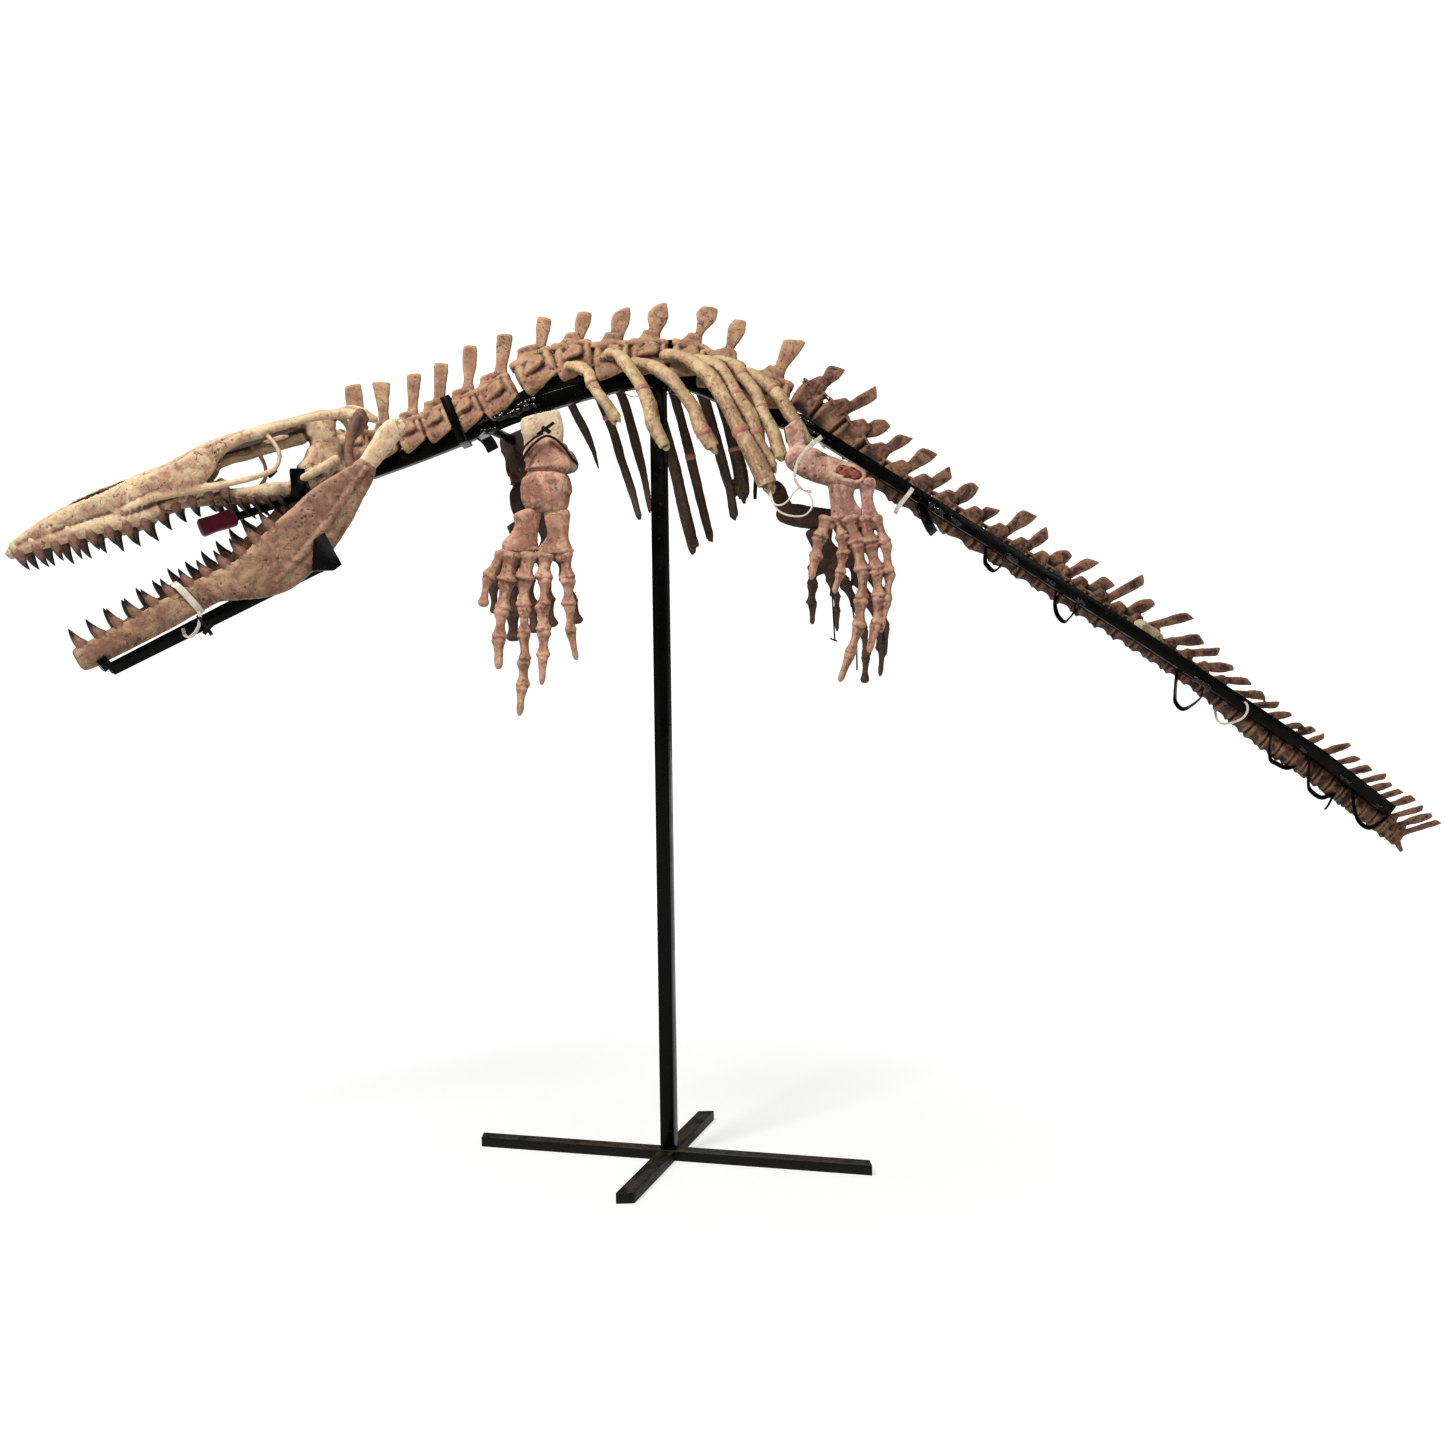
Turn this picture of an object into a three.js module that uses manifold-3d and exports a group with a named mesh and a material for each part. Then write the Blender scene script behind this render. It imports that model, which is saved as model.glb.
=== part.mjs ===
// Mounted mosasaur skeleton on a welded steel stand, life size.
// Millimetres, +Z up. The origin is on the floor under the post; the head points to -X, the
// animal's left side to -Y. The skeleton swims nose down over a tall post, jaws open, tail low.
import * as THREE from 'three';
import { mergeVertices } from 'three/addons/utils/BufferGeometryUtils.js';
import Module from 'manifold-3d';

const wasm = await Module();
wasm.setup();

// ---- driving dimensions ----
const GAP = 0.3; // clearance left between pieces that rest on each other
const POST_TUBE = 40; // square tube of the post
const BASE_TUBE = { wide: 45, high: 28 }; // flat tube of the crossed feet
const BASE_TURN = THREE.MathUtils.degToRad(-15.4); // the cross stands turned under the animal
const LONG_FOOT = 573; // post to the end of each long foot
const SHORT_FOOT = 380; // post to the end of each short foot
const BEAM = { wide: 34, deep: 48 }; // steel beam under neck and trunk
const TAIL_TUBE = 34; // square tube along the left side of the tail
const HEAD_YAW = THREE.MathUtils.degToRad(25); // head turned to the animal's left
const SKULL_PITCH = THREE.MathUtils.degToRad(21.5); // nose down
const JAW_PITCH = THREE.MathUtils.degToRad(38); // lower jaw hangs open below it
const FAR_JAW_ROLL = THREE.MathUtils.degToRad(-11); // the right jaw is wired a little higher
const OCCIPUT = new THREE.Vector3(-840, 0, 1995); // where the skull meets the neck
const TAIL_VERTEBRAE = 36;

const BONE = { color: '#c79a77', roughness: 0.75, metalness: 0 };
const PALE_BONE = { color: '#dcc39a', roughness: 0.75, metalness: 0 };
const DARK_BONE = { color: '#8c6250', roughness: 0.75, metalness: 0 };
const STEEL = { color: '#101113', roughness: 0.35, metalness: 0.3 };
const BASE_STEEL = { color: '#4a3f35', roughness: 0.6, metalness: 0.4 };
const PAD_CLOTH = { color: '#5e0a22', roughness: 0.95, metalness: 0 };

const { lerp, smoothstep } = THREE.MathUtils;
const UP = new THREE.Vector3(0, 0, 1);
const DOWN = new THREE.Vector3(0, 0, -1);
const SIDEWAYS = new THREE.Vector3(0, 1, 0);

// ---- shaping helpers ----

// Turns a closed geometry into a solid that can be joined and cut.
function solid(geometry) {
  const bare = geometry.index ? geometry.clone() : geometry;
  bare.deleteAttribute('normal');
  bare.deleteAttribute('uv');
  const welded = mergeVertices(bare, 1e-4);
  return new wasm.Manifold(new wasm.Mesh({
    numProp: 3,
    vertProperties: new Float32Array(welded.attributes.position.array),
    triVerts: new Uint32Array(welded.index.array),
  }));
}

function join(solids) {
  return solids.reduce((whole, next) => whole.add(next));
}

function placed(body, matrix) {
  return body.transform(matrix.elements);
}

// Sections of a swept piece, as corners of unit half size.
function ring(sides) {
  const corner = (k) => ((k + 0.5) / sides) * 2 * Math.PI;
  return Array.from({ length: sides }, (_, k) => [Math.cos(corner(k)), Math.sin(corner(k))]);
}
const SQUARE = ring(4).map((corner) => corner.map((value) => value * Math.SQRT2));
const DOMED = [
  [1, -0.1], [0.86, 0.62], [0.4, 1], [-0.4, 1], [-0.86, 0.62], [-1, -0.1], [-0.9, -1], [0.9, -1],
];

// Sweeps a section along a row of stations [x, y, z, across, deep]. `across` is the half size
// along `side`, `deep` the half size square to it. `facing` fixes the direction of every section,
// so both ends are flat and parallel. `grow` adds clearance all round.
function sweep(stations, { section = ring(6), side = SIDEWAYS, facing = null, grow = 0 } = {}) {
  const rings = stations.length - 1;
  const sides = section.length;
  const geometry = new THREE.CylinderGeometry(1, 1, 1, sides, rings);
  const at = stations.map(([x, y, z]) => new THREE.Vector3(x, y, z));
  const frames = stations.map(([, , , across, deep], i) => {
    const along = facing ? facing.clone()
      : at[Math.min(i + 1, rings)].clone().sub(at[Math.max(i - 1, 0)]);
    along.normalize();
    const lateral = side.clone().addScaledVector(along, -side.dot(along)).normalize();
    const normal = along.clone().cross(lateral);
    const reach = i === 0 ? -grow : i === rings ? grow : 0;
    return {
      centre: at[i].clone().addScaledVector(along, reach),
      lateral: lateral.multiplyScalar(across + grow),
      normal: normal.multiplyScalar(deep + grow),
    };
  });
  const position = geometry.attributes.position;
  const point = new THREE.Vector3();
  for (let i = 0; i < position.count; i += 1) {
    point.fromBufferAttribute(position, i);
    const frame = frames[Math.round((0.5 - point.y) * rings)];
    const spoke = Math.hypot(point.x, point.z);
    const corner = Math.round((Math.atan2(point.x, point.z) / (2 * Math.PI)) * sides);
    const [u, v] = section[(2 * sides - corner) % sides];
    const { centre, lateral, normal } = frame;
    point.copy(centre);
    point.addScaledVector(lateral, spoke * u);
    point.addScaledVector(normal, spoke * v);
    position.setXYZ(i, point.x, point.y, point.z);
  }
  return solid(geometry);
}

// A square-edged block between two corners.
function block(low, high) {
  const size = high.map((value, i) => value - low[i]);
  const geometry = new THREE.BoxGeometry(...size);
  geometry.translate(...low.map((value, i) => value + size[i] / 2));
  return solid(geometry);
}

function bar(from, to, wide, deep, options = {}) {
  return sweep([[...from, wide / 2, deep / 2], [...to, wide / 2, deep / 2]],
    { section: SQUARE, ...options });
}

const parts = new THREE.Group();

function addPart(name, body, finish) {
  const mesh = body.getMesh();
  const geometry = new THREE.BufferGeometry();
  const points = new Float32Array(mesh.numVert * 3);
  for (let i = 0; i < mesh.numVert; i += 1) {
    for (let k = 0; k < 3; k += 1) points[3 * i + k] = mesh.vertProperties[mesh.numProp * i + k];
  }
  geometry.setAttribute('position', new THREE.BufferAttribute(points, 3));
  geometry.setIndex(new THREE.BufferAttribute(new Uint32Array(mesh.triVerts), 1));
  geometry.computeVertexNormals();
  const part = new THREE.Mesh(geometry, new THREE.MeshStandardMaterial(finish));
  part.name = name;
  parts.add(part);
}

// ---- steel beam: neck and trunk underneath the column, tail along its left side ----

const BEAM_PATH = new THREE.CatmullRomCurve3([
  [-800, 0, 1922], [-600, 0, 1993], [-380, 0, 2081], [-164, 0, 2143], [-30, 0, 2164],
  [80, 0, 2156], [190, 0, 2112], [300, 0, 2062], [392, -48, 2024],
].map((p) => new THREE.Vector3(...p)));
const TAIL_TUBE_START = 402;
const TAIL_TUBE_END = 1998;
const TAIL_TUBE_LINE = [
  [TAIL_TUBE_START, 2019], [930, 1681], [1340, 1412], [1800, 1098], [TAIL_TUBE_END, 940],
];
// Tail bodies shrink evenly, so the tube can lie against the flat of every one.
const tailRadius = (x) => lerp(38, 22, (x - TAIL_TUBE_START) / (TAIL_TUBE_END - TAIL_TUBE_START));
const tailTubeY = (x) => -(tailRadius(x) * Math.cos(Math.PI / 6) + GAP + TAIL_TUBE / 2);

function beamBody(grow = 0) {
  const steps = 10;
  const stations = BEAM_PATH.getSpacedPoints(steps)
    .map((p) => [p.x, p.y, p.z, BEAM.wide / 2, BEAM.deep / 2]);
  return sweep(stations, { section: SQUARE, grow });
}

function tailTubeBody(grow = 0) {
  const half = TAIL_TUBE / 2;
  return sweep(TAIL_TUBE_LINE.map(([x, z]) => [x, tailTubeY(x), z, half, half]), { section: SQUARE, grow });
}

// The gusset that doubles the beam over the shoulders.
function gussetBody(grow = 0) {
  const half = BEAM.wide / 2;
  return sweep([[-480, 0, 2068, half, 4], [-331, 0, 2139.5, half, 17], [-165, 0, 2188, half, 18]],
    { section: SQUARE, grow });
}

const PIN_X = 37; // bolt that rises from the beam between two vertebrae
function pinBody(grow = 0) {
  const z = [2192, 2252, 2252.5, 2270];
  const half = [8, 8, 13, 13];
  return sweep(z.map((height, i) => [PIN_X, 0, height, half[i], half[i]]),
    { section: ring(6), facing: UP, grow });
}

// ---- vertebral column ----

// Neck and trunk spines, head to hip: [column x, column z, tip x, tip z, waist width, tip width].
const SPINES = [
  [-828, 1990, -846, 2157, 48, 52],
  [-757, 1996, -767, 2164, 30, 50],
  [-684, 2021, -676, 2185, 30, 42],
  [-612, 2049, -600, 2214, 32, 40],
  [-530, 2080, -519, 2262, 30, 42],
  [-444, 2120, -422, 2291, 34, 42],
  [-335, 2190, -312, 2337, 32, 44],
  [-230, 2220, -200, 2350, 30, 48],
  [-125, 2218, -96, 2356, 32, 50],
  [-22, 2224, 9, 2369, 50, 52],
  [84, 2214, 143, 2361, 24, 60],
  [172, 2178, 228, 2324, 28, 46],
  [300, 2120, 383, 2262, 34, 58],
];
const TRUNK_START = 6; // first spine of the trunk

// Tail vertebrae crowd together towards the tip. Behind the hip the column drops onto the line of
// the tube, and near the tip it hangs a little below it.
const TAIL_FIRST_X = 411;
const TRUNK_END = (SPINES.at(-1)[0] + TAIL_FIRST_X) / 2;
const TAIL_STEP = 67.9;
const TAIL_CROWDING = 0.62;
function tailPoint(i) {
  const x = TAIL_FIRST_X + TAIL_STEP * i - TAIL_CROWDING * i * i;
  const next = TAIL_TUBE_LINE.findIndex(([tubeX]) => tubeX > x);
  const [x1, z1] = TAIL_TUBE_LINE.at(next - 1);
  const [x2, z2] = TAIL_TUBE_LINE.at(next);
  const tube = lerp(z1, z2, (x - x1) / (x2 - x1));
  return new THREE.Vector3(x, 0, tube + 82 - 82 * smoothstep(i, 0, 4) - 36 * smoothstep(i, 15, 24));
}

// Stations of the bodies. Big ones are spools, wide at both ends and waisted between; `spools`
// leaves the waists out where the bodies are small.
function columnStations(centres, radius, spools) {
  const last = centres.length - 1;
  const stations = [];
  centres.forEach((p, i) => {
    const joint = i === 0 ? p.clone().multiplyScalar(1.5).addScaledVector(centres[1], -0.5)
      : p.clone().lerp(centres[i - 1], 0.5);
    const r = radius(i);
    stations.push([...joint.toArray(), r, r]);
    if (spools) stations.push([...p.toArray(), r * 0.78, r * 0.78]);
  });
  const end = centres[last].clone().multiplyScalar(1.5).addScaledVector(centres[last - 1], -0.5);
  stations.push([...end.toArray(), radius(last), radius(last)]);
  return stations;
}

const trunkCentres = SPINES.map(([x, z]) => new THREE.Vector3(x, 0, z));
const tailCentres = Array.from({ length: TAIL_VERTEBRAE }, (_, i) => tailPoint(i));
const trunkRadius = (i) => (i < TRUNK_START ? 31 + i : 39);

// A spine blade: arch on the body, waist, and a broader tip.
function spineBody(root, tip, { arch, waist, end, thick }) {
  const toTip = tip.clone().sub(root);
  const along = (t) => root.clone().addScaledVector(toTip, t).toArray();
  return sweep([
    [...along(0), thick * 1.9, arch],
    [...along(0.5), thick * 1.1, waist],
    [...along(1), thick * 0.9, end],
  ], { section: SQUARE });
}

function trunkSpine([x, z, tipX, tipZ, waist, end], index) {
  const root = new THREE.Vector3(x, 0, z + 8);
  const arch = index < TRUNK_START ? 30 : 36;
  return spineBody(root, new THREE.Vector3(tipX, 0, tipZ),
    { arch, waist: waist / 2, end: end / 2, thick: 9 });
}

// Tail spines lean back more and more; short arches hang below the bodies.
function tailSpine(i, grow = 0) {
  const p = tailCentres[i];
  const lean = THREE.MathUtils.degToRad(lerp(50, 37, smoothstep(i, 0, 1)) - 33 * smoothstep(i, 8, 19));
  const rise = lerp(128, 148, smoothstep(i, 9, 14)) - 24 * smoothstep(i, 27, 35);
  const blade = new THREE.Vector3(Math.cos(lean), 0, Math.sin(lean));
  const root = p.clone().addScaledVector(blade, tailRadius(p.x) * 0.5);
  const tip = p.clone().addScaledVector(blade, rise);
  const half = lerp(17.5, 7.5, smoothstep(i, 5, 28));
  return sweep([[...root.toArray(), 9, half], [...tip.toArray(), 5, half]], { section: SQUARE, grow });
}

function tailArch(i) {
  const p = tailCentres[i];
  const r = tailRadius(p.x);
  return sweep([[p.x + 6, 0, p.z - r * 0.6, 9, 12], [p.x + 16, 0, p.z - r - 24, 5, 7]], { section: ring(3) });
}

// Sideways processes on the right of the first tail vertebrae; the tube takes their place on the left.
function tailProcess(i) {
  const p = tailCentres[i];
  const reach = 92 - 9 * i;
  return sweep([
    [p.x, 14, p.z, 14, 10],
    [p.x + 12, reach, p.z - 16, 9, 6],
  ], { section: SQUARE, side: new THREE.Vector3(1, 0, 0) });
}

const steelClear = join([beamBody(GAP), gussetBody(GAP), tailTubeBody(GAP), pinBody(GAP)]);

// ---- ribs ----

// A rib springs from the column, sweeps out and back, then hangs down.
function rib(side, { x, z, back, reach, drop, wide = 20 }) {
  const steps = 4;
  const turn = THREE.MathUtils.degToRad(104);
  const stations = [];
  for (let i = 0; i <= steps; i += 1) {
    const t = i / steps;
    const angle = t * turn;
    const fall = (1 - Math.cos(angle)) / (1 - Math.cos(turn));
    const half = (wide / 2) * (i === steps ? 0.75 : 1);
    stations.push([x + back * t ** 0.85, side * (22 + reach * Math.sin(angle)), z - drop * fall, half, half]);
  }
  return sweep(stations, { section: SQUARE, side: new THREE.Vector3(1, 0, 0) });
}

// Left ribs are broken off short; the right ones hang nearly full length.
const LEFT_RIBS = [
  { x: -235, z: 2218, back: 120, reach: 125, drop: 190, wide: 32 },
  { x: -178, z: 2236, back: 190, reach: 140, drop: 285, wide: 34 },
  { x: -112, z: 2232, back: 265, reach: 150, drop: 290, wide: 36 },
  { x: -14, z: 2240, back: 300, reach: 155, drop: 400, wide: 42 },
  { x: 70, z: 2222, back: 230, reach: 150, drop: 335, wide: 38 },
  { x: 136, z: 2206, back: 205, reach: 140, drop: 290, wide: 34 },
  { x: 212, z: 2168, back: 180, reach: 125, drop: 215, wide: 34 },
];
const RIGHT_RIBS = [
  { x: -330, z: 2190, back: 150, reach: 130, drop: 245, wide: 26 },
  { x: -252, z: 2216, back: 180, reach: 140, drop: 410, wide: 30 },
  { x: -176, z: 2224, back: 145, reach: 150, drop: 400, wide: 30 },
  { x: -104, z: 2226, back: 195, reach: 155, drop: 510, wide: 38 },
  { x: -28, z: 2224, back: 160, reach: 155, drop: 480, wide: 30 },
  { x: 58, z: 2214, back: 150, reach: 150, drop: 410, wide: 34 },
  { x: 130, z: 2192, back: 105, reach: 145, drop: 325, wide: 40 },
  { x: 208, z: 2160, back: 105, reach: 122, drop: 285, wide: 40 },
];

// ---- neck, rib cage halves and tail lengths ----

const FAR = 3000; // beyond every piece
function between(x1, x2) {
  return block([x1 + GAP / 2, -FAR, 0], [x2 - GAP / 2, FAR, FAR]);
}

function addColumn() {
  const bodies = sweep(columnStations([...trunkCentres, ...tailCentres.slice(0, 1)],
    (i) => (i < SPINES.length ? trunkRadius(i) : 38), false));
  const whole = join([bodies, ...SPINES.map(trunkSpine)]).subtract(steelClear);
  const neckEnd = (SPINES[TRUNK_START - 1][0] + SPINES[TRUNK_START][0]) / 2 + 2;
  const neck = whole.intersect(between(-FAR, neckEnd)).subtract(placed(skullBack(GAP), SKULL));
  addPart('neck_vertebrae', largest(neck.subtract(collarBody(GAP))), BONE);
  const trunk = whole.intersect(between(neckEnd, TRUNK_END));
  for (const [name, side, ribs] of [['left', -1, LEFT_RIBS], ['right', 1, RIGHT_RIBS]]) {
    const y = [side * GAP / 2, side * FAR].sort((a, b) => a - b);
    const half = block([-FAR, y[0], 0], [FAR, y[1], FAR]);
    const cage = join([trunk, ...ribs.map((shape) => rib(side, shape))]).intersect(half).subtract(steelClear);
    addPart(`rib_cage_${name}`, cage, PALE_BONE);
  }
}

const TAIL_LENGTHS = [0, 6, 12, 19, 27, TAIL_VERTEBRAE];
function addTail() {
  TAIL_LENGTHS.slice(1).forEach((end, k) => {
    const first = TAIL_LENGTHS[k];
    const centres = tailCentres.slice(first, end);
    const spools = k === 0;
    const radius = (i) => tailRadius(centres[i].x) * (spools ? 1 : Math.cos(Math.PI / 6));
    const column = sweep(columnStations(centres, radius, spools), { section: spools ? ring(6) : SQUARE });
    const arches = centres.map((_, i) => tailArch(first + i)).slice(k === 0 ? 2 : 0);
    let length = join([column, ...arches]);
    if (end < TAIL_VERTEBRAE) length = length.subtract(tailSlab(end, 1));
    length = join([length, ...centres.map((_, i) => tailSpine(first + i))]);
    if (k === 0) {
      length = join([length, ...centres.slice(0, 5).map((_, i) => tailProcess(i))]);
      length = length.intersect(between(TRUNK_END, FAR));
    } else {
      length = length.subtract(tailSlab(first, -1)).subtract(tailSpine(first - 1, GAP));
    }
    addPart(`tail_${k + 1}`, largest(length), k < 2 ? BONE : DARK_BONE);
  });
}

// Slab of tail on one side of the joint in front of vertebra `i`: 1 towards the tip, -1 towards the
// hip.
function tailSlab(i, way) {
  const joint = tailCentres[i - 1].clone().lerp(tailCentres[i], 0.5);
  const along = tailCentres[i].clone().sub(tailCentres[i - 1]).normalize().multiplyScalar(way);
  const start = joint.clone().addScaledVector(along, -GAP / 2);
  const stop = joint.clone().addScaledVector(along, 110);
  return sweep([[...start.toArray(), 60, 70], [...stop.toArray(), 60, 70]], { section: SQUARE });
}

// ---- head ----

// Frame of the skull or jaw: x forward along it, y to the animal's left, z up.
function headFrame(pitch) {
  const forward = new THREE.Vector3(
    -Math.cos(HEAD_YAW) * Math.cos(pitch), -Math.sin(HEAD_YAW) * Math.cos(pitch), -Math.sin(pitch));
  const left = new THREE.Vector3(Math.sin(HEAD_YAW), -Math.cos(HEAD_YAW), 0);
  const matrix = new THREE.Matrix4().makeBasis(forward, left, forward.clone().cross(left));
  return matrix.setPosition(OCCIPUT);
}
const SKULL = headFrame(SKULL_PITCH);
const JAW = headFrame(JAW_PITCH);
const FAR_JAW = JAW.clone().multiply(new THREE.Matrix4().makeRotationX(FAR_JAW_ROLL));

const mirrored = (stations, side) => stations.map(([x, y, z, a, b]) => [x, side * y, z, a, b]);

// Pointed tooth rooted in the jaw at `root`; `lean` shifts its tip along the jaw.
const TOOTH_ROOT = 14;
function tooth([x, y, z], length, lean, thick) {
  const height = length + TOOTH_ROOT;
  const cone = new THREE.ConeGeometry(thick, height, 3);
  cone.rotateX(Math.PI / 2);
  const shear = new THREE.Matrix4().makeShear(0, 0, 0, 0, lean / height, 0);
  cone.applyMatrix4(shear);
  return solid(cone).translate([x + lean / 2, y, z + height / 2 - TOOTH_ROOT]);
}

// The same tooth pointing down.
function upperTooth([x, y, z], length, lean, thick) {
  return placed(tooth([0, 0, 0], length, -lean, thick), new THREE.Matrix4().makeRotationY(Math.PI))
    .translate([x, y, z]);
}

function boxed(sections) {
  return sections.map(([x, half, low, high]) => [x, 0, (low + high) / 2, half, (high - low) / 2]);
}

// Pterygoid: the toothed bar of the palate, running back to the quadrate.
const PTERYGOID = [
  [500, 56, 4, 13, 12], [390, 60, -14, 12, 11], [270, 58, -30, 13, 12], [150, 64, -50, 13, 12],
  [66, 106, -62, 11, 10],
];
// Bars of the cheek: one over the temporal opening, one from the snout below and behind the eye.
const TEMPORAL_BAR = [
  [245, 104, 92, 16, 15], [150, 136, 82, 11, 14], [40, 149, 70, 11, 15], [-46, 144, 54, 12, 13],
];
const JUGAL = [
  [450, 108, 6, 10, 15], [350, 130, -16, 8, 10], [272, 140, -14, 8, 9], [252, 136, 18, 6, 8],
  [236, 108, 88, 9, 9],
];

function palate(grow = 0) {
  const bars = [-1, 1].map((side) => sweep(mirrored(PTERYGOID, side), { section: SQUARE, grow }));
  return join([...bars, bar([118, -74, -50], [118, 74, -50], 26, 22, { side: UP, grow })]);
}

function temporalBars(grow = 0) {
  return join([-1, 1].map((side) => sweep(mirrored(TEMPORAL_BAR, side), { section: SQUARE, grow })));
}

// Braincase and the knob that fits the neck.
function skullBack(grow = 0) {
  return join([
    sweep(boxed([[160, 30, -30, 100], [100, 46, -50, 96], [28, 42, -14, 84]]), { grow }),
    sweep([[60, 0, 20, 28, 28], [8, 0, 12, 17, 17]], { grow }),
  ]);
}

const SNOUT = [
  [926, 15, -4, 16], [884, 38, 2, 41], [800, 56, -2, 62], [700, 74, -6, 76], [588, 92, -18, 90],
  [560, 96, 8, 91], [440, 114, -4, 98], [384, 118, 16, 108],
];
// Snout half width and gum height at x.
function gumAt(x) {
  const next = SNOUT.findIndex((station) => station[0] < x);
  const [x1, half1, low1] = SNOUT[next - 1];
  const [x2, half2, low2] = SNOUT[next];
  const t = (x - x1) / (x2 - x1);
  return { half: lerp(half1, half2, t), low: lerp(low1, low2, t) };
}

function addCranium() {
  const roof = [[400, 108, 84, 113], [320, 108, 88, 117], [236, 114, 86, 113], [128, 46, 84, 118]];
  const parietal = [[150, 40, 78, 119], [60, 24, 72, 116], [22, 24, 78, 106]];
  const pieces = [SNOUT, roof, parietal].map((sections) => sweep(boxed(sections), { section: DOMED }));
  pieces.push(palate(), temporalBars(), skullBack());
  for (const side of [-1, 1]) {
    pieces.push(sweep(mirrored(JUGAL, side), { section: SQUARE }));
    pieces.push(sweep(mirrored([[36, 8, 94, 12, 10], [-10, 74, 86, 11, 10], [-44, 140, 58, 11, 10]], side),
      { section: SQUARE, side: new THREE.Vector3(1, 0, 0) }));
    const teeth = side > 0 ? 11 : 12;
    for (let i = 0; i < teeth; i += 1) {
      const x = 904 - 30.5 * i;
      const { half, low } = gumAt(x);
      pieces.push(upperTooth([x, side * (half * 0.88 - 9), low], 64, -12, 16));
    }
    for (let i = 0; i < 3; i += 1) {
      pieces.push(upperTooth([310 + 58 * i, side * 58.5, -29 + 7 * i], 46, -10, 11));
    }
  }
  // Nostrils open upward and outward either side of the bar between them.
  let cranium = join(pieces);
  for (const side of [-1, 1]) {
    const nostril = mirrored([[752, 30, 92, 6, 10], [690, 40, 96, 25, 30], [610, 42, 102, 25, 30],
      [566, 36, 106, 8, 10]], side);
    cranium = cranium.subtract(sweep(nostril, { section: SQUARE }));
  }
  addPart('cranium', placed(cranium, SKULL), PALE_BONE);
}

// One side of the lower jaw: [x, y, low, high] from the heel behind the joint to the chin.
const JAW_SIDE = [
  [-94, 170, -48, -24], [-60, 168, -56, 8], [0, 165, -72, -6], [86, 158, -108, -42],
  [170, 151, -150, -32], [270, 142, -189, -40], [345, 131, -201, -47], [412, 119, -207, -54],
  [482, 106, -176, -64], [560, 91, -124, -49], [700, 66, -108, -33], [850, 35, -84, -19],
  [905, 26, -72, -12], [930, 22, -54, -8],
];
function jawSide(side, grow = 0) {
  const half = (x) => (x < 450 ? 15 : 17);
  const stations = JAW_SIDE
    .map(([x, y, low, high]) => [x, side * y, (low + high) / 2, half(x), (high - low) / 2]);
  return sweep(stations, { grow });
}

function jawTeeth(side) {
  const teeth = 12;
  const row = [];
  for (let i = 0; i < teeth; i += 1) {
    const x = lerp(896, 350, i / (teeth - 1));
    const upper = JAW_SIDE.findIndex((station) => station[0] > x) - 1;
    const [x1, y1, , z1] = JAW_SIDE[upper];
    const [x2, y2, , z2] = JAW_SIDE[upper + 1];
    const t = (x - x1) / (x2 - x1);
    row.push(tooth([x - 6, side * lerp(y1, y2, t), lerp(z1, z2, t) - 4], 60, 22, 13));
  }
  return row;
}

const JAW_FRAMES = [['left', 1, JAW], ['right', -1, FAR_JAW]];
function addJaws() {
  for (const [name, side, frame] of JAW_FRAMES) {
    const ramus = join([jawSide(side), ...jawTeeth(side)]);
    addPart(`mandible_${name}`, placed(ramus, frame), BONE);
    // The quadrate hangs from the cheek bar and carries the jaw joint.
    const quadrate = placed(sweep(mirrored(
      [[-14, 148, 66, 15, 18], [26, 152, 6, 11, 12], [74, 156, -74, 16, 15]], side),
      { section: SQUARE }), SKULL);
    const skull = placed(temporalBars(GAP).add(palate(GAP)), SKULL);
    const seated = quadrate.subtract(skull).subtract(placed(jawSide(side, GAP), frame));
    addPart(`quadrate_${name}`, largest(seated), DARK_BONE);
  }
}

// Keeps the biggest piece where a cut leaves slivers.
function largest(body) {
  return body.decompose().sort((a, b) => b.volume() - a.volume())[0];
}

// ---- flippers ----

// Bones of one flipper hang as level slices: [x, z, half across, half deep].
function hanging(side, y, slices, options = {}) {
  return sweep(slices.map(([x, z, across, deep]) => [x, side * y, z, deep, across]),
    { section: ring(6), facing: DOWN, ...options });
}

// A digit is a chain of bones along a path of [x, z], no more than `kept` of them left.
function digit(side, y, { path, joints, half }, kept) {
  const curve = new THREE.CatmullRomCurve3(path.map(([x, z]) => new THREE.Vector3(x, side * y, z)));
  const bones = Math.min(joints, kept);
  const slices = [];
  for (let k = 0; k <= bones; k += 1) {
    const shrink = half * lerp(0.92, 0.6, k / joints);
    slices.push([...curve.getPointAt(k / joints).toArray(), shrink * 0.75, shrink]);
  }
  return sweep(slices, { section: SQUARE, facing: DOWN });
}

const FRONT_DIGITS = [
  { path: [[-410, 1666], [-448, 1612], [-464, 1532]], joints: 2, half: 15 },
  { path: [[-386, 1666], [-404, 1570], [-420, 1480], [-427, 1368]], joints: 4, half: 20 },
  { path: [[-342, 1666], [-354, 1560], [-356, 1400], [-371, 1244]], joints: 6, half: 18 },
  { path: [[-294, 1666], [-302, 1570], [-303, 1480], [-309, 1324]], joints: 5, half: 18 },
  { path: [[-246, 1666], [-240, 1590], [-232, 1470], [-219, 1388]], joints: 4, half: 17 },
];
const REAR_DIGITS = [
  { path: [[446, 1752], [432, 1700], [416, 1640], [406, 1592]], joints: 3, half: 18 },
  { path: [[474, 1752], [490, 1690], [486, 1630], [468, 1554]], joints: 4, half: 15 },
  { path: [[506, 1752], [530, 1670], [544, 1560], [516, 1412], [478, 1322]], joints: 6, half: 18 },
  { path: [[550, 1752], [566, 1670], [586, 1560], [576, 1460], [558, 1398]], joints: 5, half: 18 },
  { path: [[580, 1752], [600, 1680], [612, 1610], [604, 1552]], joints: 3, half: 17 },
];

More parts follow.
